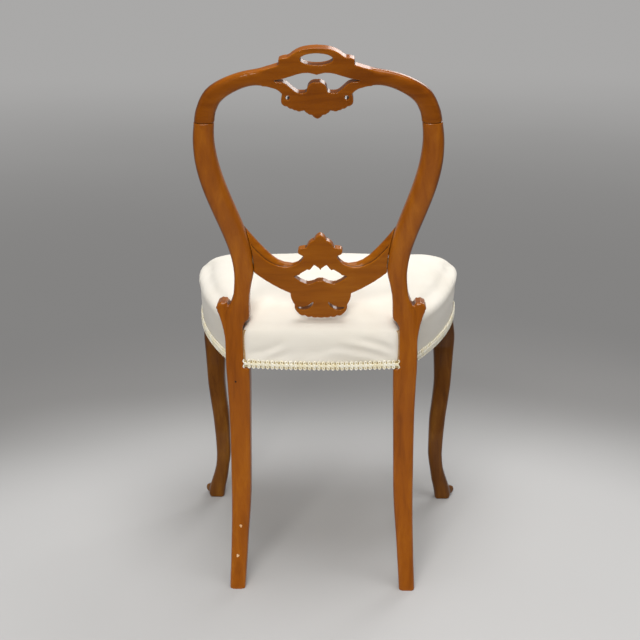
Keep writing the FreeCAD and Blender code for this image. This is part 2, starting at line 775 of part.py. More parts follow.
# The seat frame.
def side_rail_edges():
    """Outline in plan of the left side rail."""
    inward = Vector(-size("rail_thickness"), 0, 0)
    depths = (LEG_FRONT, 0.5 * (LEG_FRONT + BLOCK_REAR), BLOCK_REAR)
    outer = [at(side_x(depth), depth, 0) for depth in depths]
    inner = [point + inward for point in outer]
    return [
        Part.Arc(outer[0], outer[1], outer[2]),
        Part.LineSegment(outer[2], inner[2]),
        Part.Arc(inner[2], inner[1], inner[0]),
        Part.LineSegment(inner[0], outer[0]),
    ]


def front_rail_y(x):
    """The front rail's outer face at one x."""
    return FRONT.along(x)


def front_rail_edges():
    """Outline in plan of the front rail."""
    inward = Vector(0, size("rail_thickness"), 0)
    outer = [Vector(x, front_rail_y(x), 0) for x in (BLOCK_INNER, 0.0, -BLOCK_INNER)]
    inner = [point + inward for point in outer]
    return [
        Part.Arc(outer[0], outer[1], outer[2]),
        Part.LineSegment(outer[2], inner[2]),
        Part.Arc(inner[2], inner[1], inner[0]),
        Part.LineSegment(inner[0], outer[0]),
    ]


def back_rail_edges():
    """Outline in plan of the back rail."""
    half, rear = size("rebate_half_span"), -size("back_rail_inset")
    front = rear - size("rail_thickness")
    corners = [at(-half, rear, 0), at(half, rear, 0), at(half, front, 0), at(-half, front, 0)]
    return [Part.LineSegment(corners[i], corners[(i + 1) % 4]) for i in range(4)]


def back_block_edges():
    """Outline in plan of the glue block in the seat's back left corner."""
    reach, thickness = size("corner_block_length"), size("rail_thickness")
    rail = -size("back_rail_inset") - thickness
    far = rail - 1.1 * reach
    start = at(size("rebate_half_span"), rail, 0)
    turn = at(side_x(LEG_FRONT, thickness), LEG_FRONT, 0)
    middle = at(side_x(0.5 * (LEG_FRONT + far), thickness), 0.5 * (LEG_FRONT + far), 0)
    end = at(side_x(far, thickness), far, 0)
    tail = start - Vector(reach, 0, 0)
    return [
        Part.LineSegment(tail, start),
        Part.LineSegment(start, turn),
        Part.Arc(turn, middle, end),
        Part.LineSegment(end, tail),
    ]


def front_block_edges():
    """Outline in plan of the glue block in the seat's front left corner, notched round the leg."""
    reach, thickness = size("corner_block_length"), size("rail_thickness")
    inner = [
        Vector(x, front_rail_y(x) + thickness, 0)
        for x in (BLOCK_INNER - 0.8 * reach, BLOCK_INNER - 0.4 * reach, BLOCK_INNER)
    ]
    leg_corner = at(BLOCK_INNER, BLOCK_REAR, 0)
    depths = (BLOCK_REAR, BLOCK_REAR + 0.35 * reach, BLOCK_REAR + 0.7 * reach)
    side = [at(side_x(depth, thickness), depth, 0) for depth in depths]
    return [
        Part.Arc(inner[0], inner[1], inner[2]),
        Part.LineSegment(inner[2], leg_corner),
        Part.LineSegment(leg_corner, side[0]),
        Part.Arc(side[0], side[1], side[2]),
        Part.LineSegment(side[2], inner[0]),
    ]


def dowel(name, middle, direction):
    """A dowel that spans a joint, and the hole it needs."""
    along = unit(direction)
    pin = bound_cylinder(
        name, "Sizes.dowel_radius", "Sizes.dowel_length", middle - along * (size("dowel_length") / 2), along
    )
    start = middle - along * (size("dowel_length") / 2 + size("hole_clearance"))
    hole = bound_cylinder(
        name + "_hole",
        "Sizes.dowel_radius + Sizes.hole_clearance",
        "Sizes.dowel_length + 2 * Sizes.hole_clearance",
        start,
        along,
    )
    return pin, hole


def dowel_pair(name, x, depth, direction):
    """Two dowels, one above the other, in one joint of the seat frame."""
    pairs = []
    middle = 0.5 * (RAIL_BOTTOM + RAIL_TOP)
    for side, share in (("low", -0.5), ("high", 0.5)):
        height = middle + share * size("dowel_spacing")
        pairs.append(dowel(f"{name}_{side}", at(x, depth, height), direction))
    return [pin for pin, _ in pairs], [hole for _, hole in pairs]


def drilled(name, base, tools):
    """A piece with its holes cut."""
    cut = doc.addObject("Part::Cut", name)
    cut.Base = base
    cut.Tool = joined(name + "_holes", tools)
    return cut


def placed_copies(form, spots):
    """Copies of one shape, each turned from +Z to a direction and moved to a point."""
    copies = []
    for point, direction in spots:
        copy = form.copy()
        copy.Placement = FreeCAD.Placement(point, FreeCAD.Rotation(UP, direction))
        copies.append(copy)
    return Part.makeCompound(copies)


def screw_form(extra, head_run):
    """A screw along +Z with its head below the origin, or the hole it needs."""
    shaft = Part.makeCylinder(size("screw_radius") + extra, size("screw_length") + extra)
    head = Part.makeCylinder(size("screw_head_radius") + extra, head_run, UP * -head_run)
    return shaft.fuse(head).removeSplitter()


def tack_form(extra):
    """A webbing tack along +Z with its head below the origin, or the hole it needs."""
    shaft = Part.makeCylinder(size("tack_radius") + extra, size("tack_length") + extra)
    height = size("tack_head_height")
    head = Part.makeCylinder(size("tack_head_radius"), height, UP * -height)
    return shaft.fuse(head).removeSplitter() if extra == 0 else shaft


def both_sides(shape):
    """A shape and its mirror image."""
    return Part.makeCompound([shape, shape.mirror(Vector(0, 0, 0), Vector(1, 0, 0))])


# The webbing: strips of jute, woven, with their ends tacked under the rails.
def cross_depths():
    """Depths of the side-to-side strips' centre lines."""
    return [-size("webbing_middle_depth") + size("webbing_pitch_depth") * step for step in (2, 1, 0, -1, -2)]


def cross_strip(depth):
    """One side-to-side strip, its ends cut parallel to the rails."""
    half, margin, top = size("webbing_width") / 2, 5.0, RAIL_BOTTOM
    rear, front = side_x(depth + half, margin), side_x(depth - half, margin)
    corners = [
        at(rear, depth + half, top), at(front, depth - half, top),
        at(-front, depth - half, top), at(-rear, depth + half, top),
    ]
    return Part.Face(Part.makePolygon(corners + corners[:1])).extrude(UP * -size("webbing_thickness"))


def long_strip(x, first):
    """One front-to-back strip, which passes under and over the others by turns."""
    half, thickness, gap = size("webbing_width") / 2, size("webbing_thickness"), size("webbing_gap")
    under, over = RAIL_BOTTOM - thickness - gap, RAIL_BOTTOM + thickness + gap
    path = [(-8.0, RAIL_BOTTOM), (-30.0, RAIL_BOTTOM)]
    for i, depth in enumerate(cross_depths()):
        level = under if (i + first) % 2 == 0 else over
        path += [(depth + half + 2.0, level), (depth - half - 2.0, level)]
    path += [(BLOCK_REAR - 24.0, RAIL_BOTTOM), (-size("front_block_reach") - 2.0, RAIL_BOTTOM)]
    top = [at(x - half, depth, height) for depth, height in path]
    low = [point - UP * thickness for point in reversed(top)]
    return Part.Face(Part.makePolygon(top + low + top[:1])).extrude(Vector(2 * half, 0, 0))


def tack_spots():
    """Where the tacks go: two in each end of each strip."""
    height = RAIL_BOTTOM - size("webbing_thickness")
    quarter, middle = size("webbing_width") / 4, size("rail_thickness") / 2
    sides, ends = [], []
    for depth in cross_depths():
        for step in (quarter, -quarter):
            for side in (1, -1):
                sides.append((at(side * side_x(depth + step, middle + 1.0), depth + step, height), UP))
    for strip in (-1, 0, 1):
        for step in (quarter, -quarter):
            x = strip * size("webbing_pitch_side") + step
            ends.append((at(x, -size("back_rail_inset") - middle, height), UP))
            ends.append((Vector(x, front_rail_y(x) + middle + 3.0, height), UP))
    return sides, ends


# The springs: coils wide at both ends and narrow at the waist.
def coil_point(turn):
    """A point on the coil's centre line and its direction, after so many turns."""
    turns = size("spring_turns")
    wire = size("spring_wire_radius")
    low = RAIL_BOTTOM + size("webbing_gap") + size("webbing_thickness") + CLEAR + wire
    high = RAIL_TOP - wire
    waist, swell = size("spring_waist_radius"), size("spring_end_radius") - size("spring_waist_radius")
    share = turn / turns
    radius = waist + swell * (2 * share - 1) ** 2
    growth = swell * 4 * (2 * share - 1) / turns
    angle = 2 * math.pi * turn
    point = Vector(radius * math.cos(angle), radius * math.sin(angle), low + share * (high - low))
    slope = Vector(
        growth * math.cos(angle) - 2 * math.pi * radius * math.sin(angle),
        growth * math.sin(angle) + 2 * math.pi * radius * math.cos(angle),
        (high - low) / turns,
    )
    return point, unit(slope)


def tangent_arc(start, heading, end):
    """An arc from start to end that leaves along the heading."""
    chord = end - start
    normal = heading.cross(chord).cross(heading)
    if normal.Length < 1e-6:
        return Part.LineSegment(start, end)
    across = unit(normal)
    radius = chord.Length ** 2 / (2 * chord.dot(across))
    centre = start + across * radius
    middle = centre + unit((start + end) * 0.5 - centre) * radius
    return Part.Arc(start, middle, end)


def biarc(start, heading, end, end_heading):
    """Two arcs that run smoothly from one point and heading to another."""
    run, total = end - start, heading + end_heading
    slack = 2 * (1 - heading.dot(end_heading))
    reach = (-run.dot(total) + math.sqrt(run.dot(total) ** 2 + slack * run.dot(run))) / slack
    joint = (start + heading * reach + end - end_heading * reach) * 0.5
    back = tangent_arc(end, end_heading * -1.0, joint)
    first = tangent_arc(start, heading, joint)
    return [first.toShape(), back.toShape()]


def coil():
    """One spring, stood at the origin."""
    edges = []
    steps = int(4 * size("spring_turns"))
    spots = [coil_point(0.25 * step) for step in range(steps + 1)]
    for (start, heading), (end, end_heading) in zip(spots, spots[1:]):
        edges += biarc(start, heading, end, end_heading)
    spine = Part.Wire(Part.__sortEdges__(edges))
    start, heading = spots[0]
    section = Part.Wire([Part.Circle(start, heading, size("spring_wire_radius")).toShape()])
    return spine.makePipeShell([section], True, False)


# The soft pieces.
def cushion(skin):
    """The seat's padded form over the rails, less a skin."""
    top, roll, base = SEAT_TOP, size("seat_roll"), COVER_OFFSET
    bulge = base + size("seat_bulge")
    slope = size("seat_back_slope")
    rows = [
        (RAIL_BOTTOM + 0.5 - 1.5 * skin, base, 1.0, 0.0, 0.0, 1.0),
        (RAIL_BOTTOM + 17.0, base, 1.0, 0.0, 0.0, 1.0),
        (RAIL_BOTTOM + 38.0, bulge, 1.0, 0.0, 0.0, 1.0),
        (RAIL_TOP - 4.0, bulge, 1.0, 0.0, 0.0, 1.0),
        (RAIL_TOP + 9.0, base - 0.03 * roll, 1.0, 0.25, 0.3, 1.0),
        (top - 13.6, base - 0.38 * roll, 1.0, 0.85, 0.8, 0.9),
        (top - 5.6, base - roll, 1.0, 1.0, 1.0, 0.6),
        (top - 2.1, base - roll, 0.85, 1.0, 1.0, 0.3),
        (top - 0.6, base - roll, 0.6, 1.0, 1.0, 0.2),
        (top, base - roll, 0.35, 1.0, 1.0, 0.2),
    ]
    wires = [
        seat_outline(offset - skin * aside, height - skin * down, scale, slope * pull)
        for height, offset, scale, pull, down, aside in rows
    ]
    return Part.makeLoft(wires, True, True)


def leg_notches():
    """The room the back legs take out of the seat's soft pieces."""
    face, neck = size("rebate_half_span") - CLEAR, size("neck_centre") - size("neck_width") / 2 - CLEAR
    radius = size("rebate_radius") - CLEAR
    centre = size("rebate_half_span") - size("rebate_radius")
    low, high = RAIL_BOTTOM - OVERRUN, SEAT_TOP + OVERRUN
    rise = math.sqrt(radius ** 2 - (neck - centre) ** 2)
    turn = 0.5 * math.acos((neck - centre) / radius)
    far = size("ear_centre") + 2 * size("ear_radius")
    rear = OVERRUN * 6
    corners = [
        at(face, rear, low), at(face, rear, RAIL_TOP), at(neck, rear, RAIL_TOP + rise),
        at(neck, rear, high), at(far, rear, high), at(far, rear, low),
    ]
    bend = at(centre + radius * math.cos(turn), rear, RAIL_TOP + radius * math.sin(turn))
    edges = [Part.LineSegment(corners[i], corners[(i + 1) % 6]).toShape() for i in range(6)]
    edges[1] = Part.Arc(corners[1], bend, corners[2]).toShape()
    notch = Part.Face(Part.Wire(edges)).extrude(Vector(0, LEG_FRONT - CLEAR - rear, 0))
    return both_sides(notch)


def braid():
    """The braid round the sides and the front, and its room behind the legs."""
    inner = COVER_OFFSET + CLEAR
    top = RAIL_BOTTOM + size("gimp_height")
    ring = outline_prism(inner + size("gimp_thickness"), RAIL_BOTTOM, top)
    ring = ring.cut(outline_prism(inner, RAIL_BOTTOM - OVERRUN, top + OVERRUN))
    wide = 2 * (BLOCK_SIDE + OVERRUN)
    behind = Part.makeBox(wide, wide, wide, at(-wide / 2, LEG_FRONT - CLEAR, 0))
    return ring.cut(behind)


# Joints: one dowel in each joint of the back, two in each joint of the seat frame.
crest_joint = at(size("joint_centre"), rear_depth(JOINT), JOINT)
crest_joint += CREST_THROUGH * (size("joint_depth") / 2)
crest_pin, crest_hole = dowel("crest_dowel", crest_joint, CREST_LEAN)
cross_joint = on_cross(size("cross_joint_span"), size("cross_joint_rise"))
cross_joint += RAIL_THROUGH * (size("cross_rail_thickness") / 2)
cross_run = on_cross(size("cross_dowel_run"), size("cross_dowel_climb")) - on_cross(0.0, 0.0)
cross_pin, cross_hole = dowel("cross_dowel", cross_joint, cross_run)
back_depth = -size("back_rail_inset") - size("rail_thickness") / 2
back_pins, back_holes = dowel_pair("back_dowel", size("rebate_half_span"), back_depth, Vector(1, 0, 0))
rear_x = RAIL_START - 0.45 * size("rail_thickness")
rear_pins, rear_holes = dowel_pair("rear_dowel", rear_x, LEG_FRONT, Vector(0.25, -0.97, 0))
fore_x = BLOCK_SIDE - 0.52 * size("rail_thickness")
fore_pins, fore_holes = dowel_pair("fore_dowel", fore_x, BLOCK_REAR, Vector(0, -1, 0))
front_depth = -size("front_block_reach") + size("rail_thickness") / 2
front_pins, front_holes = dowel_pair("front_dowel", BLOCK_INNER, front_depth, Vector(1, 0, 0))


def pin_group(name, pins):
    """The dowels of one kind of joint, on both sides."""
    left = joined(name + "_left", pins)
    return node(joined(name, [left, mirrored(left, name + "_right")]), name)


def hole_pair(name, holes):
    """Holes for both ends of a piece that spans the chair."""
    left = joined(name + "_left", holes)
    return [left, mirrored(left, name + "_right")]


pin_group("crest_rail_dowels", [crest_pin])
pin_group("cross_rail_dowels", [cross_pin])
pin_group("seat_rail_dowels", back_pins + rear_pins + fore_pins + front_pins)

# The back.
back_leg_form = fused([Part.makeLoft([leg_section(*row) for row in leg_rows()], True, True), ear()])
back_leg_form = back_leg_form.cut(rebate())
left_back_leg = drilled(
    "left_back_leg",
    shaped("back_leg_form", back_leg_form),
    [crest_hole, cross_hole] + back_holes + rear_holes,
)
node(left_back_leg, "left_back_leg")
node(mirrored(left_back_leg, "right_back_leg"), "right_back_leg")
crest_holes = hole_pair("crest_holes", [crest_hole])
node(drilled("crest_rail", shaped("crest_form", crest_rail()), crest_holes), "crest_rail")
scribed = cross_rail_blank().cut(both_sides(back_leg_form))
scribed = max(scribed.Solids, key=lambda solid: solid.Volume)
cross_holes = hole_pair("cross_holes", [cross_hole])
node(drilled("cross_rail", shaped("cross_form", scribed), cross_holes), "cross_rail")

# The front legs.
left_front_leg = drilled("left_front_leg", shaped("front_leg_form", front_leg()), fore_holes + front_holes)
node(left_front_leg, "left_front_leg")
node(mirrored(left_front_leg, "right_front_leg"), "right_front_leg")

# Screws through the corner blocks into the rails.
screw_height = 0.5 * (RAIL_BOTTOM + RAIL_TOP)
grip, rail_thickness = size("screw_grip"), size("rail_thickness")
back_rail_front = -size("back_rail_inset") - rail_thickness
rear_screw_depth = back_rail_front - 0.72 * size("corner_block_length")
fore_screw_depth = BLOCK_REAR + 0.3 * size("corner_block_length")
front_screw_x = BLOCK_INNER - 0.32 * size("corner_block_length")
back_screws = [
    (at(size("rebate_half_span") - 0.36 * size("corner_block_length"), back_rail_front - grip, screw_height),
     Vector(0, 1, 0)),
    (at(side_x(rear_screw_depth, rail_thickness + grip), rear_screw_depth, screw_height), Vector(1, 0, 0)),
]
front_screw_y = front_rail_y(front_screw_x) + rail_thickness + grip
front_screws = [
    (at(side_x(fore_screw_depth, rail_thickness + grip), fore_screw_depth, screw_height), Vector(1, 0, 0)),
    (Vector(front_screw_x, front_screw_y, screw_height), Vector(0, -1, 0)),
]
screw = screw_form(0.0, size("screw_head_height"))
screws = shaped("screws_left", placed_copies(screw, back_screws + front_screws))
node(joined("corner_block_screws", [screws, mirrored(screws, "screws_right")]), "corner_block_screws")
bore = screw_form(size("hole_clearance"), size("screw_bore_run"))
back_bores = shaped("back_bores", placed_copies(bore, back_screws))
front_bores = shaped("front_bores", placed_copies(bore, front_screws))
bores_left = joined("bores_left", [back_bores, front_bores])
bores = [bores_left, mirrored(bores_left, "bores_right")]

# The seat frame.
side_tacks, end_tacks = tack_spots()
tack_bore = tack_form(size("hole_clearance"))
side_tack_bores = shaped("side_tack_bores", placed_copies(tack_bore, side_tacks))
end_tack_bores = shaped("end_tack_bores", placed_copies(tack_bore, end_tacks))
board = "Sizes.rail_height"
left_rail = drilled(
    "left_side_seat_rail",
    padded_sketch("side_rail_form", side_rail_edges(), RAIL_BOTTOM, board),
    rear_holes + fore_holes + [bores_left, side_tack_bores],
)
node(left_rail, "left_side_seat_rail")
node(mirrored(left_rail, "right_side_seat_rail"), "right_side_seat_rail")
back_rail = drilled(
    "back_seat_rail",
    padded_sketch("back_rail_form", back_rail_edges(), RAIL_BOTTOM, board),
    hole_pair("back_rail_dowel_holes", back_holes) + bores + [end_tack_bores],
)
node(back_rail, "back_seat_rail")
front_rail = drilled(
    "front_seat_rail",
    padded_sketch("front_rail_form", front_rail_edges(), RAIL_BOTTOM, board),
    hole_pair("front_rail_dowel_holes", front_holes) + bores + [end_tack_bores],
)
node(front_rail, "front_seat_rail")
block_base = RAIL_TOP - size("corner_block_drop") - size("corner_block_height")
corner_blocks = [("back", back_block_edges(), back_bores), ("front", front_block_edges(), front_bores)]
for place, edges, bore_set in corner_blocks:
    blank = padded_sketch(f"{place}_block_form", edges, block_base, "Sizes.corner_block_height")
    left_block = drilled(f"{place}_left_corner_block", blank, [bore_set])
    node(left_block, f"{place}_left_corner_block")
    node(mirrored(left_block, f"{place}_right_corner_block"), f"{place}_right_corner_block")

# The upholstery.
node(shaped("webbing_tacks", placed_copies(tack_form(0.0), side_tacks + end_tacks)), "webbing_tacks")
cross_strips = shaped("cross_strips", Part.makeCompound([cross_strip(depth) for depth in cross_depths()]))
node(drilled("cross_webbing", cross_strips, [side_tack_bores]), "cross_webbing")
pitch = size("webbing_pitch_side")
long_strips = shaped("long_strips", Part.makeCompound([long_strip(pitch * i, i + 1) for i in (-1, 0, 1)]))
node(drilled("long_webbing", long_strips, [end_tack_bores]), "long_webbing")
one_coil = coil()
coil_spots = [
    (at(side * pitch, -size("webbing_middle_depth") + row * size("webbing_pitch_depth"), 0), UP)
    for side in (1, -1)
    for row in (1, -1)
]
node(shaped("seat_springs", placed_copies(one_coil, coil_spots)), "seat_springs")
notches = leg_notches()
sheet_base = RAIL_TOP + CLEAR
sheet_top = sheet_base + size("hessian_thickness")
hessian = outline_prism(-size("hessian_inset"), sheet_base, sheet_top).cut(notches)
node(shaped("spring_hessian", hessian), "spring_hessian")
pad_base = sheet_base + size("hessian_thickness") + CLEAR
below = outline_prism(size("rail_thickness"), 0.0, pad_base)
stuffing = cushion(size("cover_thickness") + CLEAR).cut(below).cut(notches)
node(shaped("seat_stuffing", stuffing), "seat_stuffing")
cover = cushion(0.0).cut(cushion(size("cover_thickness"))).cut(notches)
node(shaped("seat_cover", cover), "seat_cover")
gimp_rear = REAR - size("back_rail_inset") + COVER_OFFSET + CLEAR
gimp_half = size("rebate_half_span") - 2 * CLEAR
back_gimp = bound_box(
    "back_gimp",
    ("2 * Sizes.rebate_half_span - 4 * Sizes.soft_clearance", "Sizes.gimp_thickness", "Sizes.gimp_height"),
    Vector(-gimp_half, gimp_rear, RAIL_BOTTOM),
)
node(back_gimp, "back_gimp")
node(shaped("surround_gimp", braid()), "surround_gimp")

doc.recompute()
faulty = [item.Label for item in doc.Objects if "Invalid" in item.State or "Error" in item.State]
for item in made:
    if item.Shape.isNull() or not item.Shape.isValid() or not item.Shape.Solids:
        faulty.append(item.Label)
if faulty:
    raise RuntimeError(f"pieces that did not build: {sorted(set(faulty))}")
os.makedirs("parts", exist_ok=True)
for item in made:
    item.Shape.exportStep(f"parts/{item.Label}.step")
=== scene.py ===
"""A balloon back side chair in polished walnut, with a sprung seat under a pale cloth.

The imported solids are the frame. The shaped wood, the seat's cloth and its braid are modelled over them
here, and the pieces under the seat keep their solids and are dressed. Lengths are metres, +Z is up, the
chair faces -Y and +X is the sitter's left.
"""

import logging
import math
from dataclasses import dataclass, replace
from enum import Enum

import bmesh
import bpy
import numpy as np
from mathutils import Matrix, Vector
from mathutils.bvhtree import BVHTree


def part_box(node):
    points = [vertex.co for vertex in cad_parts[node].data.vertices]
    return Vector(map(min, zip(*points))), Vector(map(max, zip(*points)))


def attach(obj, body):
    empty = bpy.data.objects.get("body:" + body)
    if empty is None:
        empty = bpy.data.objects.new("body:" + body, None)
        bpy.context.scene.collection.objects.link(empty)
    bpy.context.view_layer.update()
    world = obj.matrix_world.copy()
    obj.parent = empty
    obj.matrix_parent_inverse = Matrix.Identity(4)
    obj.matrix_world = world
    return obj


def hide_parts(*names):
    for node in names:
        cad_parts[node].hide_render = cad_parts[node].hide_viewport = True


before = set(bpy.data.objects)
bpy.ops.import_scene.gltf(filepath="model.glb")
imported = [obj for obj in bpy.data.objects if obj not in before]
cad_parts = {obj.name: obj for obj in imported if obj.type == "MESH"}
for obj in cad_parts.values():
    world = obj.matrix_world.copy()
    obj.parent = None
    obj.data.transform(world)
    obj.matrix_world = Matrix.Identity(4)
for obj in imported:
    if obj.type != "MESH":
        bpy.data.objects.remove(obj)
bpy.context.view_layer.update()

LOG = logging.getLogger("balloon_back_chair")
BODY = "root"
UP = Vector((0.0, 0.0, 1.0)).freeze()
BACK_LEGS = ("left_back_leg", "right_back_leg")
FRONT_LEGS = ("left_front_leg", "right_front_leg")
CROSS_RAILS = ("front_seat_rail", "back_seat_rail")
SIDE_RAILS = ("left_side_seat_rail", "right_side_seat_rail")

Colour = tuple[float, float, float]
Place = tuple[float, float, float]
Names = tuple[str, ...]
Tree = bpy.types.NodeTree
Socket = bpy.types.NodeSocket
Material = bpy.types.Material
Mesh = bpy.types.Mesh
Piece = bpy.types.Object
Shape = bmesh.types.BMesh
Rows = np.ndarray


class Grain(Enum):
    """The way the fibres run in a piece of wood, as the turn that brings them upright."""

    UPRIGHT = (0.0, 0.0, 0.0)
    SIDEWAYS = (0.0, math.pi / 2, 0.0)
    FORWARD = (math.pi / 2, 0.0, 0.0)


class Slot(Enum):
    """The record's material slots, by name; no piece here is given one."""

    WALNUT = "walnut"
    STEEL = "steel"
    COVER = "cover_cloth"
    GIMP = "gimp"


# Shader building.


class Graph:
    """Adds nodes to one tree and joins them."""

    def __init__(self, tree: Tree) -> None:
        """Starts on a tree, emptied first."""
        self.tree = tree
        tree.nodes.clear()

    def add(self, kind: str, feeds: dict | None = None, settings: dict | None = None) -> bpy.types.Node:
        """Adds a node.

        Args:
            kind: The node's type, such as "ShaderNodeMath".
            feeds: Its input sockets by name or number, each with a constant or an output socket.
            settings: Its other properties by name.

        Returns:
            The new node.
        """
        node = self.tree.nodes.new(kind)
        for name, value in (settings or {}).items():
            setattr(node, name, value)
        self.set(node, feeds or {})
        return node

    def set(self, node: bpy.types.Node, feeds: dict) -> None:
        """Feeds some of a node's inputs, by name or number."""
        for name, value in feeds.items():
            self.feed(node.inputs[name], value)

    def feed(self, socket: Socket, value: object) -> None:
        """Links an output socket to an input, or sets the input's constant."""
        if isinstance(value, Socket):
            self.tree.links.new(value, socket)
        elif socket.type == "RGBA" and len(value) == 3:
            socket.default_value = (*value, 1.0)
        else:
            socket.default_value = value

    def math(self, operation: str, first: object, second: object = 0.0) -> Socket:
        """The value of a Math node."""
        return self.add("ShaderNodeMath", {0: first, 1: second}, {"operation": operation}).outputs[0]

    def times(self, first: object, second: object) -> Socket:
        """The product of two values."""
        return self.math("MULTIPLY", first, second)

    def plus(self, first: object, second: object) -> Socket:
        """The sum of two values."""
        return self.math("ADD", first, second)

    def vector(self, operation: str, first: object, second: object) -> Socket:
        """The vector of a Vector Math node."""
        return self.add("ShaderNodeVectorMath", {0: first, 1: second}, {"operation": operation}).outputs[0]

    def blend(self, share: object, first: object, second: object) -> Socket:
        """The colour between two colours."""
        settings = {"data_type": "RGBA", "clamp_factor": True}
        return self.add("ShaderNodeMix", {0: share, 6: first, 7: second}, settings).outputs[2]

    def span(
        self, value: object, low: float, high: float, to_low: float = 0.0, to_high: float = 1.0,
    ) -> Socket:
        """A value carried smoothly from one range to another."""
        feeds = {"Value": value, "From Min": low, "From Max": high, "To Min": to_low, "To Max": to_high}
        return self.add("ShaderNodeMapRange", feeds, {"interpolation_type": "SMOOTHSTEP"}).outputs["Result"]

    def noise(
        self, place: object, scale: float, detail: float = 3.0, roughness: float = 0.55, warp: float = 0.0,
    ) -> Socket:
        """The value of a noise pattern."""
        feeds = {"Vector": place, "Scale": scale, "Detail": detail, "Roughness": roughness}
        feeds["Distortion"] = warp
        return self.add("ShaderNodeTexNoise", feeds).outputs[0]

    def distance(self, place: object, centre: object) -> Socket:
        """The distance from a place to a centre."""
        node = self.add("ShaderNodeVectorMath", {0: place, 1: centre}, {"operation": "DISTANCE"})
        return node.outputs["Value"]

    def place(self) -> Socket:
        """The place on the surface, in the object's own coordinates."""
        return self.add("ShaderNodeTexCoord").outputs["Object"]

    def bend(self) -> Socket:
        """The bend that is stored on the surface, with the hoop's painted shade and painted light mixed into
        it.
        """
        return self.add("ShaderNodeAttribute", None, {"attribute_name": "bend"}).outputs["Fac"]

    def relief(self, shader: bpy.types.Node, height: object, distance: float, strength: float) -> None:
        """Gives a shader a fine relief."""
        bump = self.add("ShaderNodeBump", {"Height": height, "Distance": distance, "Strength": strength})
        self.feed(shader.inputs["Normal"], bump.outputs[0])


def scaled(colour: Colour, share: float) -> Colour:
    """A colour made darker or paler."""
    return tuple(share * part for part in colour)


def new_group(name: str, inputs: dict, outputs: Names) -> tuple:
    """Starts a shader node group with named sockets.

    Args:
        name: The group's name.
        inputs: The default of each input by its name: a colour, a number, or None for a place.
        outputs: The names of the outputs, of which "Color" is a colour and any other a number.

    Returns:
        The group's graph, the sockets that it is given and the sockets that it feeds, by name.
    """
    tree = bpy.data.node_groups.new(name, "ShaderNodeTree")
    kinds = {type(None): "NodeSocketVector", float: "NodeSocketFloat", tuple: "NodeSocketColor"}
    for title, default in inputs.items():
        kind = kinds[type(default)]
        socket = tree.interface.new_socket(name=title, in_out="INPUT", socket_type=kind)
        if default is not None:
            socket.default_value = (*default, 1.0) if kind == "NodeSocketColor" else default
    for title in outputs:
        kind = "NodeSocketColor" if title == "Color" else "NodeSocketFloat"
        tree.interface.new_socket(name=title, in_out="OUTPUT", socket_type=kind)
    graph = Graph(tree)
    return graph, graph.add("NodeGroupInput").outputs, graph.add("NodeGroupOutput").inputs


def figure_group() -> Tree:
    """Builds the figure of polished timber: soft bands, a broad drift of tone and fine dark fibres."""
    defaults = {
        "Vector": None, "Dark": (0.05, 0.016, 0.004), "Middle": (0.2, 0.06, 0.008),
        "Light": (0.36, 0.14, 0.024), "Band Scale": 95.0, "Fibre": 0.35,
    }
    graph, given, fed = new_group("timber_figure", defaults, ("Color", "Height", "Drift"))
    drift = graph.noise(given["Vector"], 6.0, 2.0)
    wander = graph.add("ShaderNodeTexNoise", {"Vector": given["Vector"], "Scale": 9.0}).outputs[1]
    shift = graph.vector("MULTIPLY", wander, (0.012, 0.012, 0.05))
    place = graph.vector("MULTIPLY", graph.vector("ADD", given["Vector"], shift), (1.0, 1.0, 0.12))
    bands = graph.noise(place, 1.0, 5.0, 0.6, 0.5)
    graph.feed(bands.node.inputs["Scale"], given["Band Scale"])
    fibres = graph.noise(graph.vector("MULTIPLY", place, (1.0, 1.0, 0.3)), 900.0, 2.0, 0.5)
    tone = graph.plus(graph.times(bands, 0.62), graph.times(drift, 0.38))
    warm = graph.blend(graph.span(tone, 0.34, 0.52), given["Dark"], given["Middle"])
    warm = graph.blend(graph.span(tone, 0.48, 0.68), warm, given["Light"])
    threads = graph.span(fibres, 0.36, 0.6, 1.0, 0.0)
    share = graph.times(threads, given["Fibre"])
    graph.feed(fed["Color"], graph.blend(share, warm, given["Dark"]))
    graph.feed(fed["Height"], fibres)
    graph.feed(fed["Drift"], drift)
    return graph.tree


def wear_and_shading_group() -> Tree:
    """Builds the wear of years, with arrises rubbed pale and hollows darkened by old polish. Through the
    stored bend it also shows the hoop's painted shade and painted light.
    """
    defaults = {
        "Color": (0.2, 0.06, 0.01), "Bend": 0.0, "Rubbed And Lit": (0.42, 0.18, 0.04),
        "Grime And Shade": (0.03, 0.01, 0.004), "Rub And Light": 0.5, "Dirt And Shade": 0.6, "Patch": 0.5,
    }
    graph, given, fed = new_group("polish_wear_and_shading", defaults, ("Color", "Worn And Lit"))
    patches = graph.span(given["Patch"], 0.3, 0.62, 0.35, 1.0)
    # Paler where the bend is positive: rubbed arrises, and the hoop's painted light.
    edge = graph.times(graph.span(given["Bend"], 0.1, 0.75), patches)
    worn_and_lit = graph.times(edge, given["Rub And Light"])
    # Darker where the bend is negative: old polish in hollows and dark joints, and the hoop's painted shade.
    sunk = graph.span(given["Bend"], -0.55, -0.06, 1.0, 0.0)
    hollow_and_shade = graph.times(sunk, given["Dirt And Shade"])
    rubbed = graph.blend(worn_and_lit, given["Color"], given["Rubbed And Lit"])
    graph.feed(fed["Color"], graph.blend(hollow_and_shade, rubbed, given["Grime And Shade"]))
    graph.feed(fed["Worn And Lit"], worn_and_lit)
    return graph.tree


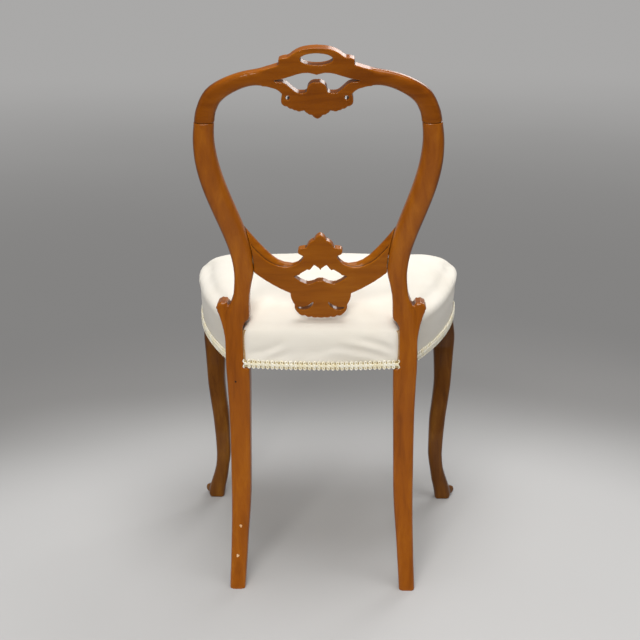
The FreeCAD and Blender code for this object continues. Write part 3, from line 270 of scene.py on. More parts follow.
def weave_group() -> Tree:
    """Builds a plain weave: over and under threads in two directions, with uneven yarn."""
    defaults = {"Vector": None, "Threads": 900.0, "Slub": 0.3}
    graph, given, fed = new_group("plain_weave", defaults, ("Height", "Gap", "Slubs"))
    place = graph.add("ShaderNodeSeparateXYZ", {"Vector": given["Vector"]})
    turns = [graph.times(place.outputs[i], given["Threads"]) for i in range(2)]
    across, along = [graph.math("SINE", graph.times(turn, math.pi)) for turn in turns]
    over = graph.times(across, along)
    ridge = graph.plus(graph.math("ABSOLUTE", across), graph.math("ABSOLUTE", along))
    slubs = graph.noise(graph.vector("MULTIPLY", given["Vector"], (60.0, 700.0, 60.0)), 1.0, 2.0)
    height = graph.plus(graph.times(ridge, 0.35), graph.times(over, 0.25))
    uneven = graph.times(slubs, given["Slub"])
    graph.feed(fed["Height"], graph.plus(height, uneven))
    graph.feed(fed["Gap"], graph.span(ridge, 0.25, 0.8, 1.0, 0.0))
    graph.feed(fed["Slubs"], slubs)
    return graph.tree


@dataclass(frozen=True)
class Effects:
    """The shared shader groups."""

    figure: Tree
    # The wear group, which also shows the hoop's painted shade and painted light.
    wear: Tree
    weave: Tree


def start_material(name: str) -> tuple[Material, Graph, bpy.types.Node]:
    """Starts a material.

    Args:
        name: The finish's name.

    Returns:
        The material, its graph and its Principled shader, already joined to the output.
    """
    material = bpy.data.materials.new(name)
    material.use_nodes = True
    graph = Graph(material.node_tree)
    shader = graph.add("ShaderNodeBsdfPrincipled")
    graph.add("ShaderNodeOutputMaterial", {"Surface": shader.outputs[0]})
    return material, graph, shader


@dataclass(frozen=True)
class Mark:
    """A small scar in the polish: its place, its radius and its colour."""

    place: Place
    radius: float
    colour: Colour


@dataclass(frozen=True)
class WoodFinish:
    """A timber and its polish."""

    name: str
    dark: Colour
    middle: Colour
    light: Colour
    grain: Grain = Grain.UPRIGHT
    band_scale: float = 62.0
    fibre: float = 0.16
    # The strengths of the rubbing and the dirt also set those of the hoop's painted light and painted shade.
    rub_and_light: float = 0.3
    dirt_and_shade: float = 0.75
    roughness: float = 0.32
    coat: float = 0.4
    bump: float = 0.00006
    edge_wear_and_shading: bool = True
    marks: tuple[Mark, ...] = ()

    def material(self, effects: Effects) -> Material:
        """Builds the finish as a material."""
        material, graph, shader = start_material(self.name)
        place = graph.place()
        turned = graph.add("ShaderNodeMapping", {"Vector": place, "Rotation": self.grain.value}).outputs[0]
        feeds = {
            "Vector": turned, "Dark": self.dark, "Middle": self.middle, "Light": self.light,
            "Band Scale": self.band_scale, "Fibre": self.fibre,
        }
        figure = graph.add("ShaderNodeGroup", feeds, {"node_tree": effects.figure})
        colour = figure.outputs["Color"]
        gloss = graph.span(figure.outputs["Drift"], 0.3, 0.7, self.roughness - 0.05, self.roughness + 0.08)
        if self.edge_wear_and_shading:
            feeds = {
                "Color": colour, "Bend": graph.bend(), "Rubbed And Lit": scaled(self.light, 1.25),
                "Rub And Light": self.rub_and_light, "Dirt And Shade": self.dirt_and_shade, "Patch": graph.noise(place, 22.0, 4.0, 0.6),
            }
            colour = graph.add("ShaderNodeGroup", feeds, {"node_tree": effects.wear}).outputs["Color"]
        for mark in self.marks:
            rim = 0.5 * mark.radius
            ragged = graph.span(graph.noise(place, 320.0, 2.0), 0.3, 0.7, -rim, rim)
            reach = graph.plus(graph.distance(place, mark.place), ragged)
            colour = graph.blend(graph.span(reach, 1.5 * rim, mark.radius, 1.0, 0.0), colour, mark.colour)
        graph.set(shader, {
            "Base Color": colour, "Roughness": gloss, "Coat Weight": self.coat, "Coat Roughness": 0.08,
            "Specular IOR Level": 0.12, "Specular Tint": (1.0, 0.72, 0.42),
        })
        graph.relief(shader, figure.outputs["Height"], self.bump, 0.6)
        return material


@dataclass(frozen=True)
class ClothFinish:
    """A woven stuff, from fine cover cloth to coarse jute."""

    name: str
    pale: Colour
    shade: Colour
    threads: float
    bump: float
    gap_shade_share: float = 0.25
    slub: float = 0.3
    roughness: float = 0.85
    sheen: float = 0.15

    def material(self, effects: Effects) -> Material:
        """Builds the finish as a material."""
        material, graph, shader = start_material(self.name)
        place = graph.place()
        feeds = {"Vector": place, "Threads": self.threads, "Slub": self.slub}
        weave = graph.add("ShaderNodeGroup", feeds, {"node_tree": effects.weave})
        soil = graph.span(graph.noise(place, 7.0, 4.0, 0.6), 0.35, 0.75, 0.0, 0.5)
        colour = graph.blend(soil, self.pale, self.shade)
        # Painted shade in the gaps between the threads.
        gap_shade = graph.times(weave.outputs["Gap"], self.gap_shade_share)
        colour = graph.blend(gap_shade, colour, scaled(self.shade, 0.6))
        gloss = graph.span(weave.outputs["Slubs"], 0.3, 0.7, self.roughness - 0.08, self.roughness + 0.06)
        graph.set(shader, {
            "Base Color": colour, "Roughness": gloss, "Sheen Weight": self.sheen, "Specular IOR Level": 0.25,
        })
        graph.relief(shader, weave.outputs["Height"], self.bump, 0.7)
        return material


@dataclass(frozen=True)
class CordFinish:
    """A twisted cotton cord, as in braid."""

    name: str
    pale: Colour
    shade: Colour
    twist: float = 1400.0

    def material(self, effects: Effects) -> Material:
        """Builds the finish as a material."""
        material, graph, shader = start_material(self.name)
        place = graph.place()
        tone = graph.noise(place, 55.0, 3.0, 0.6)
        strands = graph.noise(place, self.twist, 2.0, 0.5)
        colour = graph.blend(graph.span(tone, 0.35, 0.7), self.pale, self.shade)
        # Painted shade in the hollows between the cords.
        between = graph.span(graph.bend(), -0.6, -0.05, 0.55, 0.0)
        colour = graph.blend(between, colour, scaled(self.shade, 0.45))
        gloss = graph.span(strands, 0.3, 0.7, 0.62, 0.85)
        graph.set(shader, {"Base Color": colour, "Roughness": gloss, "Sheen Weight": 0.2})
        graph.relief(shader, strands, 0.0002, 0.6)
        return material


@dataclass(frozen=True)
class SteelFinish:
    """Old spring or screw steel, with some rust."""

    name: str
    bright: Colour
    rust: Colour
    rust_share: float = 0.35
    roughness: float = 0.35

    def material(self, effects: Effects) -> Material:
        """Builds the finish as a material."""
        material, graph, shader = start_material(self.name)
        place = graph.place()
        spots = graph.noise(place, 130.0, 5.0, 0.65)
        rusted = graph.span(spots, 0.62 - 0.3 * self.rust_share, 0.8 - 0.3 * self.rust_share)
        graph.set(shader, {
            "Base Color": graph.blend(rusted, self.bright, self.rust),
            "Metallic": graph.span(rusted, 0.0, 1.0, 1.0, 0.15),
            "Roughness": graph.span(rusted, 0.0, 1.0, self.roughness, 0.8),
        })
        graph.relief(shader, spots, 0.0001, 0.5)
        return material


# Mesh helpers.


def solid_of(*names: str) -> Shape:
    """The solids of some nodes as one merged bmesh.

    Args:
        names: The nodes' names.

    Returns:
        A new bmesh, with doubles merged.
    """
    shape = bmesh.new()
    for name in names:
        shape.from_mesh(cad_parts[name].data)
    bmesh.ops.remove_doubles(shape, verts=shape.verts, dist=1e-6)
    return shape


def put(name: str, data: bpy.types.ID) -> Piece:
    """Puts some data in the scene as an object at the origin."""
    piece = bpy.data.objects.new(name, data)
    bpy.context.scene.collection.objects.link(piece)
    return piece


def stand(name: str, shape: Shape) -> Piece:
    """Puts a bmesh in the scene as an object at the origin, and frees it."""
    mesh = bpy.data.meshes.new(name)
    shape.to_mesh(mesh)
    shape.free()
    return put(name, mesh)


def shape_of(piece: Piece) -> Shape:
    """A piece's mesh as a new bmesh."""
    shape = bmesh.new()
    shape.from_mesh(piece.data)
    return shape


def give_shape(piece: Piece, shape: Shape) -> None:
    """Puts a bmesh back into a piece's mesh, and frees it."""
    shape.to_mesh(piece.data)
    shape.free()


def add_in(shape: Shape, other: Shape) -> None:
    """Adds one bmesh to another, and frees the other."""
    mesh = bpy.data.meshes.new("filling")
    other.to_mesh(mesh)
    other.free()
    shape.from_mesh(mesh)
    bpy.data.meshes.remove(mesh)


def parts_of(shape: Shape) -> list:
    """Every vertex, edge and face of a bmesh."""
    return [*shape.verts, *shape.edges, *shape.faces]


def verts_in(items: list) -> list[bmesh.types.BMVert]:
    """The vertices among some parts of a bmesh."""
    return [item for item in items if isinstance(item, bmesh.types.BMVert)]


def evaluated(piece: Piece) -> Mesh:
    """A new mesh of a piece as it stands, with its modifiers or as the tube of its curve."""
    bpy.context.view_layer.update()
    graph = bpy.context.evaluated_depsgraph_get()
    return bpy.data.meshes.new_from_object(piece.evaluated_get(graph))


def settle(piece: Piece) -> None:
    """Applies every modifier of a piece to its mesh."""
    mesh = evaluated(piece)
    piece.modifiers.clear()
    old, piece.data = piece.data, mesh
    mesh.name = old.name
    bpy.data.meshes.remove(old)


def remesh(piece: Piece, voxel: float) -> None:
    """Gives a closed piece an even skin of small faces."""
    step = piece.modifiers.new("even_skin", "REMESH")
    step.mode = "VOXEL"
    step.voxel_size = voxel
    settle(piece)


def soften(piece: Piece, passes: int, above: float = -math.inf) -> None:
    """Rounds the arrises of an evenly meshed piece, or of its part above a level."""
    shape = shape_of(piece)
    verts = [vert for vert in shape.verts if vert.co.z > above]
    axes = {"use_axis_x": True, "use_axis_y": True, "use_axis_z": True}
    for _ in range(passes):
        bmesh.ops.smooth_vert(shape, verts=verts, factor=0.5, **axes)
    give_shape(piece, shape)


def points_of(piece: Piece, what: str = "co") -> Rows:
    """The places of a piece's vertices, or another vector of theirs, as rows of x, y and z."""
    flat = np.empty(len(piece.data.vertices) * 3)
    piece.data.vertices.foreach_get(what, flat)
    return flat.reshape(-1, 3)


def skin_of(piece: Piece) -> tuple[Rows, Rows]:
    """The places and the normals of a piece's vertices."""
    return points_of(piece), points_of(piece, "normal")


def edge_ends(piece: Piece) -> Rows:
    """The numbers of the first and of the second vertices of a piece's edges."""
    pairs = np.empty(len(piece.data.edges) * 2, dtype=np.int64)
    piece.data.edges.foreach_get("vertices", pairs)
    return pairs.reshape(-1, 2).T


def place_points(piece: Piece, points: Rows) -> None:
    """Moves the vertices of a piece."""
    piece.data.vertices.foreach_set("co", points.ravel())
    piece.data.update()


def smoothstep(low: float, high: float, value: Rows) -> Rows:
    """A soft step from 0 at the low end to 1 at the high end."""
    share = np.clip((value - low) / (high - low), 0.0, 1.0)
    return share * share * (3 - 2 * share)


def stored_bend(piece: Piece) -> Rows:
    """The bend that is stored at each vertex of a piece."""
    bend = np.empty(len(piece.data.vertices), dtype=np.float32)
    piece.data.attributes["bend"].data.foreach_get("value", bend)
    return bend


def store_bend(piece: Piece, bend: Rows) -> None:
    """Stores the bend at each vertex of a piece."""
    attributes = piece.data.attributes
    layer = attributes.get("bend") or attributes.new("bend", "FLOAT", "POINT")
    layer.data.foreach_set("value", bend.astype(np.float32))


def record_bend(piece: Piece, scale: float, passes: int = 2) -> None:
    """Stores how sharply the surface bends: above 0 on arrises, below 0 in hollows.

    Args:
        piece: An evenly meshed piece.
        scale: The radius of an arris that counts as 1.
        passes: How far the value spreads, in rings of vertices.
    """
    points, normals = skin_of(piece)
    first, second = edge_ends(piece)
    along = points[second] - points[first]
    length = np.maximum((along ** 2).sum(axis=1), 1e-12)

    def gathered(at_first: Rows | None, at_second: Rows | None) -> Rows:
        """Sums the values at both ends of the edges that meet at each vertex."""
        return np.bincount(first, at_first, len(points)) + np.bincount(second, at_second, len(points))

    count = np.maximum(gathered(None, None), 1)
    turn = ((normals[second] - normals[first]) * along).sum(axis=1) / length * scale
    bend = gathered(turn, turn) / count
    for _ in range(passes):
        bend = 0.4 * bend + 0.6 * gathered(bend[second], bend[first]) / count
    store_bend(piece, np.clip(bend, -2.0, 2.0))


def near_nodes(piece: Piece, neighbours: Names, reach: float) -> Rows:
    """Which vertices of a piece lie close to some nodes.

    Args:
        piece: The piece.
        neighbours: The names of the nodes.
        reach: The greatest distance that counts as close, in metres.

    Returns:
        One truth value for each vertex.
    """
    met = solid_of(*neighbours)
    tree = BVHTree.FromBMesh(met)
    met.free()
    return np.array([tree.find_nearest(point, reach)[3] is not None for point in points_of(piece)])


def round_bar(piece: Piece, share: Rows, seam: Rows, axis: Vector, passes: int) -> None:
    """Rounds the section of a bar and keeps the ends at its joints flat and in place.

    Args:
        piece: An evenly meshed piece.
        share: How strongly each vertex takes part.
        seam: Which vertices lie in a joint.
        axis: The direction across the joints' faces.
        passes: How many times the skin is softened.
    """
    points = points_of(piece)
    first, second = edge_ends(piece)
    target, source = np.concatenate((first, second)), np.concatenate((second, first))
    used = ~(seam[source] & ~seam[target]) & (share[target] > 0)
    target, source = target[used], source[used]
    count = np.maximum(np.bincount(target, minlength=len(points)), 1)[:, None]
    across = np.array(axis)
    level = points @ across
    near = np.zeros(len(points))
    if seam.any():
        near = 1 - smoothstep(0.01, 0.03, np.abs(level - np.median(points[seam] @ across)))
    for _ in range(passes):
        sums = [np.bincount(target, points[source, i], len(points)) for i in range(3)]
        mean = np.stack(sums, axis=1) / count
        move = (mean - points) * (0.5 * share)[:, None]
        move -= (near * (move @ across))[:, None] * across
        points = points + move
    place_points(piece, points)


def dress(piece: Piece, material: Material) -> None:
    """Gives a new piece its one material and its body."""
    piece.data.materials.clear()
    piece.data.materials.append(material)
    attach(piece, BODY)
    LOG.info("%s: %d triangles", piece.name, sum(len(face.vertices) - 2 for face in piece.data.polygons))


def paint_node(name: str, material: Material) -> None:
    """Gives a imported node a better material, on the object and not on its mesh."""
    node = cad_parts[name]
    for place in node.material_slots:
        place.link = "OBJECT"
        place.material = material
    LOG.info("%s: dressed", name)


# The wood that shows.


@dataclass
class ShownWood:
    """The polished wood: the back legs, the crest rail, the cross rail and the front legs."""

    effects: Effects
    leg_voxel: float = 0.0017
    leg_passes: int = 4
    carved_voxel: float = 0.00085
    carved_passes: int = 3
    stile_rounding: int = 24
    crest_rounding: int = 90
    arris: float = 0.0035
    seam: float = 0.001
    seam_tone: float = 0.32
    stile_heights: tuple[float, float] = (0.5, 0.56)
    hoop_centre: float = 0.66
    arm_span: tuple[float, float] = (0.076, 0.092)
    # Strength of the painted shade on the hoop's outer side and of the painted light on its inner side, and
    # how much of the real bend they replace.
    hoop_painted_shade: float = 0.34
    hoop_shading_cover: float = 0.7
    joint_lean: float = math.radians(13.5)
    ear_centre: float = 0.1545
    ear_height: float = 0.4655
    ear_radius: float = 0.0105
    flutes: float = 9.0
    flute_depth: float = 0.0009
    legs_finish: WoodFinish = WoodFinish(
        "walnut_legs", (0.2, 0.047, 0.001), (0.285, 0.075, 0.0015), (0.38, 0.115, 0.004),
        marks=(
            # A nail hole that is not cut: a near-black spot of painted shade.
            Mark((0.1369, 0.1604, 0.3443), 0.0016, (0.02, 0.01, 0.006)),
            Mark((0.132, 0.1804, 0.1024), 0.0021, (0.68, 0.42, 0.2)),
            Mark((0.1372, 0.1899, 0.0533), 0.0024, (0.72, 0.48, 0.26)),
        ),
    )
    crest_finish: WoodFinish = WoodFinish(
        "walnut_crest", (0.165, 0.039, 0.001), (0.235, 0.061, 0.0015), (0.31, 0.093, 0.004),
        grain=Grain.SIDEWAYS, coat=0.24,
    )
    cross_finish: WoodFinish = WoodFinish(
        "walnut_cross_rail", (0.195, 0.048, 0.001), (0.265, 0.073, 0.0015), (0.33, 0.102, 0.004),
        grain=Grain.SIDEWAYS, coat=0.24,
    )
    # The same walnut made darker for the front legs: painted shade from the seat above them.
    shaded_front_finish: WoodFinish = WoodFinish(
        "walnut_front_legs_shaded", (0.09, 0.026, 0.0015), (0.15, 0.048, 0.003), (0.23, 0.085, 0.007),
    )

    def shaped(self, node: str, voxel: float, passes: int) -> Piece:
        """Copies a node, evens its skin and softens its arrises.

        Args:
            node: The node's name.
            voxel: The size of the new faces.
            passes: How many times the skin is softened.

        Returns:
            The new piece.
        """
        piece = stand(node + "_wood", solid_of(node))
        remesh(piece, voxel)
        soften(piece, passes)
        return piece

    def finish(self, piece: Piece, node: str, material: Material, meets: Names = ()) -> None:
        """Records the wear, dresses the piece and hides its node.

        Args:
            piece: The shaped piece.
            node: The name of the node that it replaces.
            material: Its polish.
            meets: The nodes at its glued joints.
        """
        # Records the bend for the wear, stores the hoop's painted shade and painted light, darkens the glued
        # joints, dresses the piece and hides its node.
        record_bend(piece, self.arris)
        # The hoop's painted shade and painted light, on every piece but the cross rail.
        if node != "cross_rail":
            self.paint_hoop_shading(piece)
        if meets:
            bend = stored_bend(piece)
            bend[near_nodes(piece, meets, self.seam)] = -self.seam_tone
            store_bend(piece, bend)
        piece.data.shade_smooth()
        dress(piece, material)
        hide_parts(node)

    def paint_hoop_shading(self, piece: Piece) -> None:
        """Stores painted shade along the hoop's outer side and painted light along its inner side, in the
        bend.
        """
        points, normals = skin_of(piece)
        share = smoothstep(*self.stile_heights, points[:, 2])
        share = share * smoothstep(*self.arm_span, np.abs(points[:, 0]))
        spoke = points - np.array((0.0, 0.0, self.hoop_centre))
        spoke[:, 1] = 0.0
        spoke /= np.maximum(np.linalg.norm(spoke, axis=1), 1e-6)[:, None]
        out = (normals * spoke).sum(axis=1)
        aside = share * smoothstep(0.35, 0.8, np.abs(spoke[:, 0]))
        # Painted shade where the surface faces out of the hoop and painted light where it faces in, stored in
        # place of most of the real bend.
        tone = self.hoop_painted_shade * smoothstep(0.1, 0.9, -out) - self.hoop_painted_shade * smoothstep(0.1, 0.9, out)
        store_bend(piece, stored_bend(piece) * (1 - self.hoop_shading_cover * aside) + aside * tone)

    def round_hoop(self, piece: Piece, share: Rows, meets: Names, passes: int) -> None:
        """Rounds the part of a piece that belongs to the hoop, as far as the joints at its ends.

        Args:
            piece: The shaped piece.
            share: How much each vertex belongs to the hoop.
            meets: The nodes at the hoop's joints.
            passes: How many times the skin is softened.
        """
        axis = Vector((0.0, math.sin(self.joint_lean), math.cos(self.joint_lean)))
        round_bar(piece, share, near_nodes(piece, meets, self.seam), axis, passes)

    def flute_ear(self, piece: Piece, side: float) -> None:
        """Cuts the shallow flutes along the roll of an ear."""
        points, normals = skin_of(piece)
        across = side * points[:, 0] - self.ear_centre
        up = points[:, 2] - self.ear_height
        reach = np.hypot(across, up)
        turn = np.arctan2(up, across)
        near = 1.0 - smoothstep(self.ear_radius + 0.0015, self.ear_radius + 0.005, reach)
        near *= smoothstep(self.ear_radius - 0.0035, self.ear_radius - 0.0015, reach)
        near *= smoothstep(-0.9, -0.5, turn)
        wave = 0.5 - 0.5 * np.cos(turn * self.flutes)
        points -= normals * (near * wave ** 2 * self.flute_depth)[:, None]
        place_points(piece, points)

    def make(self) -> None:
        """Models and dresses every piece of polished wood."""
        material = self.legs_finish.material(self.effects)
        for side, name in zip((1.0, -1.0), BACK_LEGS):
            leg = self.shaped(name, self.leg_voxel, self.leg_passes)
            stile = smoothstep(*self.stile_heights, points_of(leg)[:, 2])
            self.round_hoop(leg, stile, ("crest_rail",), self.stile_rounding)
            self.flute_ear(leg, side)
            self.finish(leg, name, material, ("crest_rail", "cross_rail"))
        crest = self.shaped("crest_rail", self.carved_voxel, self.carved_passes)
        arms = smoothstep(*self.arm_span, np.abs(points_of(crest)[:, 0]))
        self.round_hoop(crest, arms, BACK_LEGS, self.crest_rounding)
        self.finish(crest, "crest_rail", self.crest_finish.material(self.effects), BACK_LEGS)
        cross = self.shaped("cross_rail", self.carved_voxel, self.carved_passes)
        self.finish(cross, "cross_rail", self.cross_finish.material(self.effects), BACK_LEGS)
        material = self.shaded_front_finish.material(self.effects)
        for name in FRONT_LEGS:
            self.finish(self.shaped(name, self.leg_voxel, self.leg_passes), name, material)


# The seat.


@dataclass
class Seat:
    """The cloth over the seat, stretched over the stuffing and down the rails."""

    effects: Effects
    voxel: float = 0.006
    frame_scale: Place = (1.012, 1.012, 1.06)
    core_scale: Place = (0.93, 0.93, 1.06)
    pressure: float = 4.0
    shrink: float = -0.012
    tacked_band: float = 0.02
    cap: float = 0.006
    frames: int = 20
    evening: int = 8
    thickness: float = 0.0015
    back_face: float = 0.161
    sag: float = 0.0035
    sag_half_span: float = 0.123
    pulls: tuple[tuple[float, float, float, float, float], ...] = (
        (-0.118, 0.386, -0.03, 0.41, 0.0038),
        (-0.112, 0.376, -0.01, 0.392, 0.003),
        (-0.119, 0.404, -0.06, 0.423, 0.0024),
        (0.117, 0.381, 0.055, 0.402, 0.0028),
        (0.1, 0.376, 0.04, 0.386, 0.002),
        (0.03, 0.383, -0.03, 0.396, 0.0014),
    )
    crease: float = 0.0045
    lip: float = 0.005
    lip_offset: float = 0.008
    shoulder_swell: float = 0.0035
    corner_swell: float = 0.0055
    rail_bottom: float = 0.367
    rail_top: float = 0.429
    hem: float = 0.0035
    finish: ClothFinish = ClothFinish(
        "seat_cloth", (0.82, 0.775, 0.69), (0.75, 0.69, 0.58), threads=1500.0, bump=0.00012, gap_shade_share=0.08,
    )
    rails: Names = CROSS_RAILS + SIDE_RAILS

    def form(self) -> Piece:
        """The whole seat as one closed solid, from the cover, the stuffing and the frame inside them."""
        shape = solid_of("seat_cover", "seat_stuffing", *self.rails)
        low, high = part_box("seat_cover")
        middle = Vector((0.0, 0.5 * (low[1] + high[1]), self.rail_bottom))
        centred = Matrix.Translation(-middle)
        packed = solid_of(*self.rails, *FRONT_LEGS)
        cut = middle + UP * 0.001
        bmesh.ops.bisect_plane(packed, geom=parts_of(packed), plane_co=cut, plane_no=UP, clear_inner=True)
        bmesh.ops.holes_fill(packed, edges=[edge for edge in packed.edges if edge.is_boundary])
        bmesh.ops.scale(packed, vec=self.frame_scale, space=centred, verts=packed.verts)
        add_in(shape, packed)
        core = solid_of(*self.rails)
        hull = bmesh.ops.convex_hull(core, input=core.verts)
        spare = verts_in(hull["geom_interior"] + hull["geom_unused"])
        bmesh.ops.delete(core, geom=spare, context="VERTS")
        loose = [face for face in core.faces if face not in set(hull["geom"])]
        bmesh.ops.delete(core, geom=loose, context="FACES_ONLY")
        bmesh.ops.scale(core, vec=self.core_scale, space=centred, verts=core.verts)
        add_in(shape, core)
        piece = stand("seat_cloth", shape)
        remesh(piece, self.voxel)
        soften(piece, 2)
        return piece

    def puff(self, piece: Piece) -> None:
        """Swells the cloth over the stuffing with a short cloth simulation, held at its tacked edge."""
        rest, normals = skin_of(piece)
        held = piece.vertex_groups.new(name="tacked")
        for index, (_, _, z) in enumerate(rest):
            if z < self.rail_bottom + self.tacked_band:
                held.add([index], 1.0, "REPLACE")
        step = piece.modifiers.new("cloth", "CLOTH")
        step.settings.use_pressure = True
        step.settings.uniform_pressure_force = self.pressure
        step.settings.effector_weights.gravity = 0.0
        step.settings.vertex_group_mass = "tacked"
        step.settings.shrink_min = self.shrink
        step.settings.tension_stiffness = 25.0
        step.settings.bending_stiffness = 0.6
        step.point_cache.frame_start = 1
        step.point_cache.frame_end = self.frames
        scene = bpy.context.scene
        for number in range(1, self.frames + 1):
            scene.frame_set(number)
        settle(piece)
        scene.frame_set(1)
        move = points_of(piece) - rest
        out = (move * normals).sum(axis=1)
        aside = move - normals * out[:, None]
        inward = self.cap * smoothstep(self.rail_top + 0.004, self.rail_top + 0.02, rest[:, 2])
        out = np.clip(out, -inward, self.cap)
        length = np.linalg.norm(aside, axis=1)
        share = np.minimum(1.0, 0.5 * self.cap / np.maximum(length, 1e-9))
        place_points(piece, rest + aside * share[:, None] + normals * out[:, None])

    def fill_out(self, piece: Piece) -> None:
        """Evens the cloth over the pad, and fills out its shoulders, most at the front corners."""
        soften(piece, self.evening, self.rail_top + 0.004)
        points, normals = skin_of(piece)
        x, y, z = points.T
        shoulder = np.exp(-((normals[:, 2] - 0.5) / 0.34) ** 2)
        shoulder = shoulder * smoothstep(self.rail_top - 0.012, self.rail_top + 0.006, z)
        front = 1 - smoothstep(0.06, 0.13, y)
        corner = smoothstep(0.1, 0.19, np.abs(x)) * (1 - smoothstep(-0.16, -0.06, y))
        swell = shoulder * front * (self.shoulder_swell + self.corner_swell * corner)
        place_points(piece, points + normals * swell[:, None])

    def tension(self, piece: Piece) -> None:
        """Draws the soft pulls in the back panel and lets its tacked edge hang a little in the middle."""
        points = points_of(piece)
        x, y, z = points.T
        panel = smoothstep(self.back_face - 0.03, self.back_face - 0.008, y)
        panel = panel * (1 - smoothstep(self.rail_top - 0.012, self.rail_top + 0.01, z))
        for start_x, start_z, end_x, end_z, depth in self.pulls:
            run = np.array([end_x - start_x, end_z - start_z])
            reach = float(np.hypot(*run))
            share = ((x - start_x) * run[0] + (z - start_z) * run[1]) / reach ** 2
            off = ((x - start_x) * run[1] - (z - start_z) * run[0]) / reach + 0.004 * np.sin(math.pi * share)
            fade = smoothstep(-0.1, 0.25, share) * (1 - smoothstep(0.7, 1.15, share))
            lip = 0.8 * np.exp(-((off - self.lip_offset) / self.lip) ** 2)
            y += panel * fade * depth * (np.exp(-(off / self.crease) ** 2) - lip)
        hang = self.sag * np.clip(1 - (x / self.sag_half_span) ** 2, 0.0, 1.0)
        back = smoothstep(self.back_face - 0.02, self.back_face - 0.006, y)
        z -= back * hang * (1 - smoothstep(self.rail_bottom, self.rail_bottom + 0.03, z))
        place_points(piece, np.stack((x, y, z), axis=1))

    def open_below(self, piece: Piece) -> None:
        """Takes away the underside, so that the webbing and the springs show from below."""
        shape = shape_of(piece)
        level = self.rail_bottom + self.hem
        low = [face for face in shape.faces if face.calc_center_median().z < level]
        bmesh.ops.delete(shape, geom=[face for face in low if face.normal.z < -0.5], context="FACES")
        give_shape(piece, shape)

    def make(self) -> None:
        """Models and dresses the cloth."""
        piece = self.form()
        self.puff(piece)
        self.fill_out(piece)
        self.tension(piece)
        self.open_below(piece)
        divide = piece.modifiers.new("finer", "SUBSURF")
        divide.levels = 1
        divide.render_levels = 1
        wall = piece.modifiers.new("wall", "SOLIDIFY")
        wall.thickness = self.thickness
        wall.offset = -1.0
        settle(piece)
        piece.data.shade_smooth()
        dress(piece, self.finish.material(self.effects))
        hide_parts("seat_cover", "seat_stuffing")


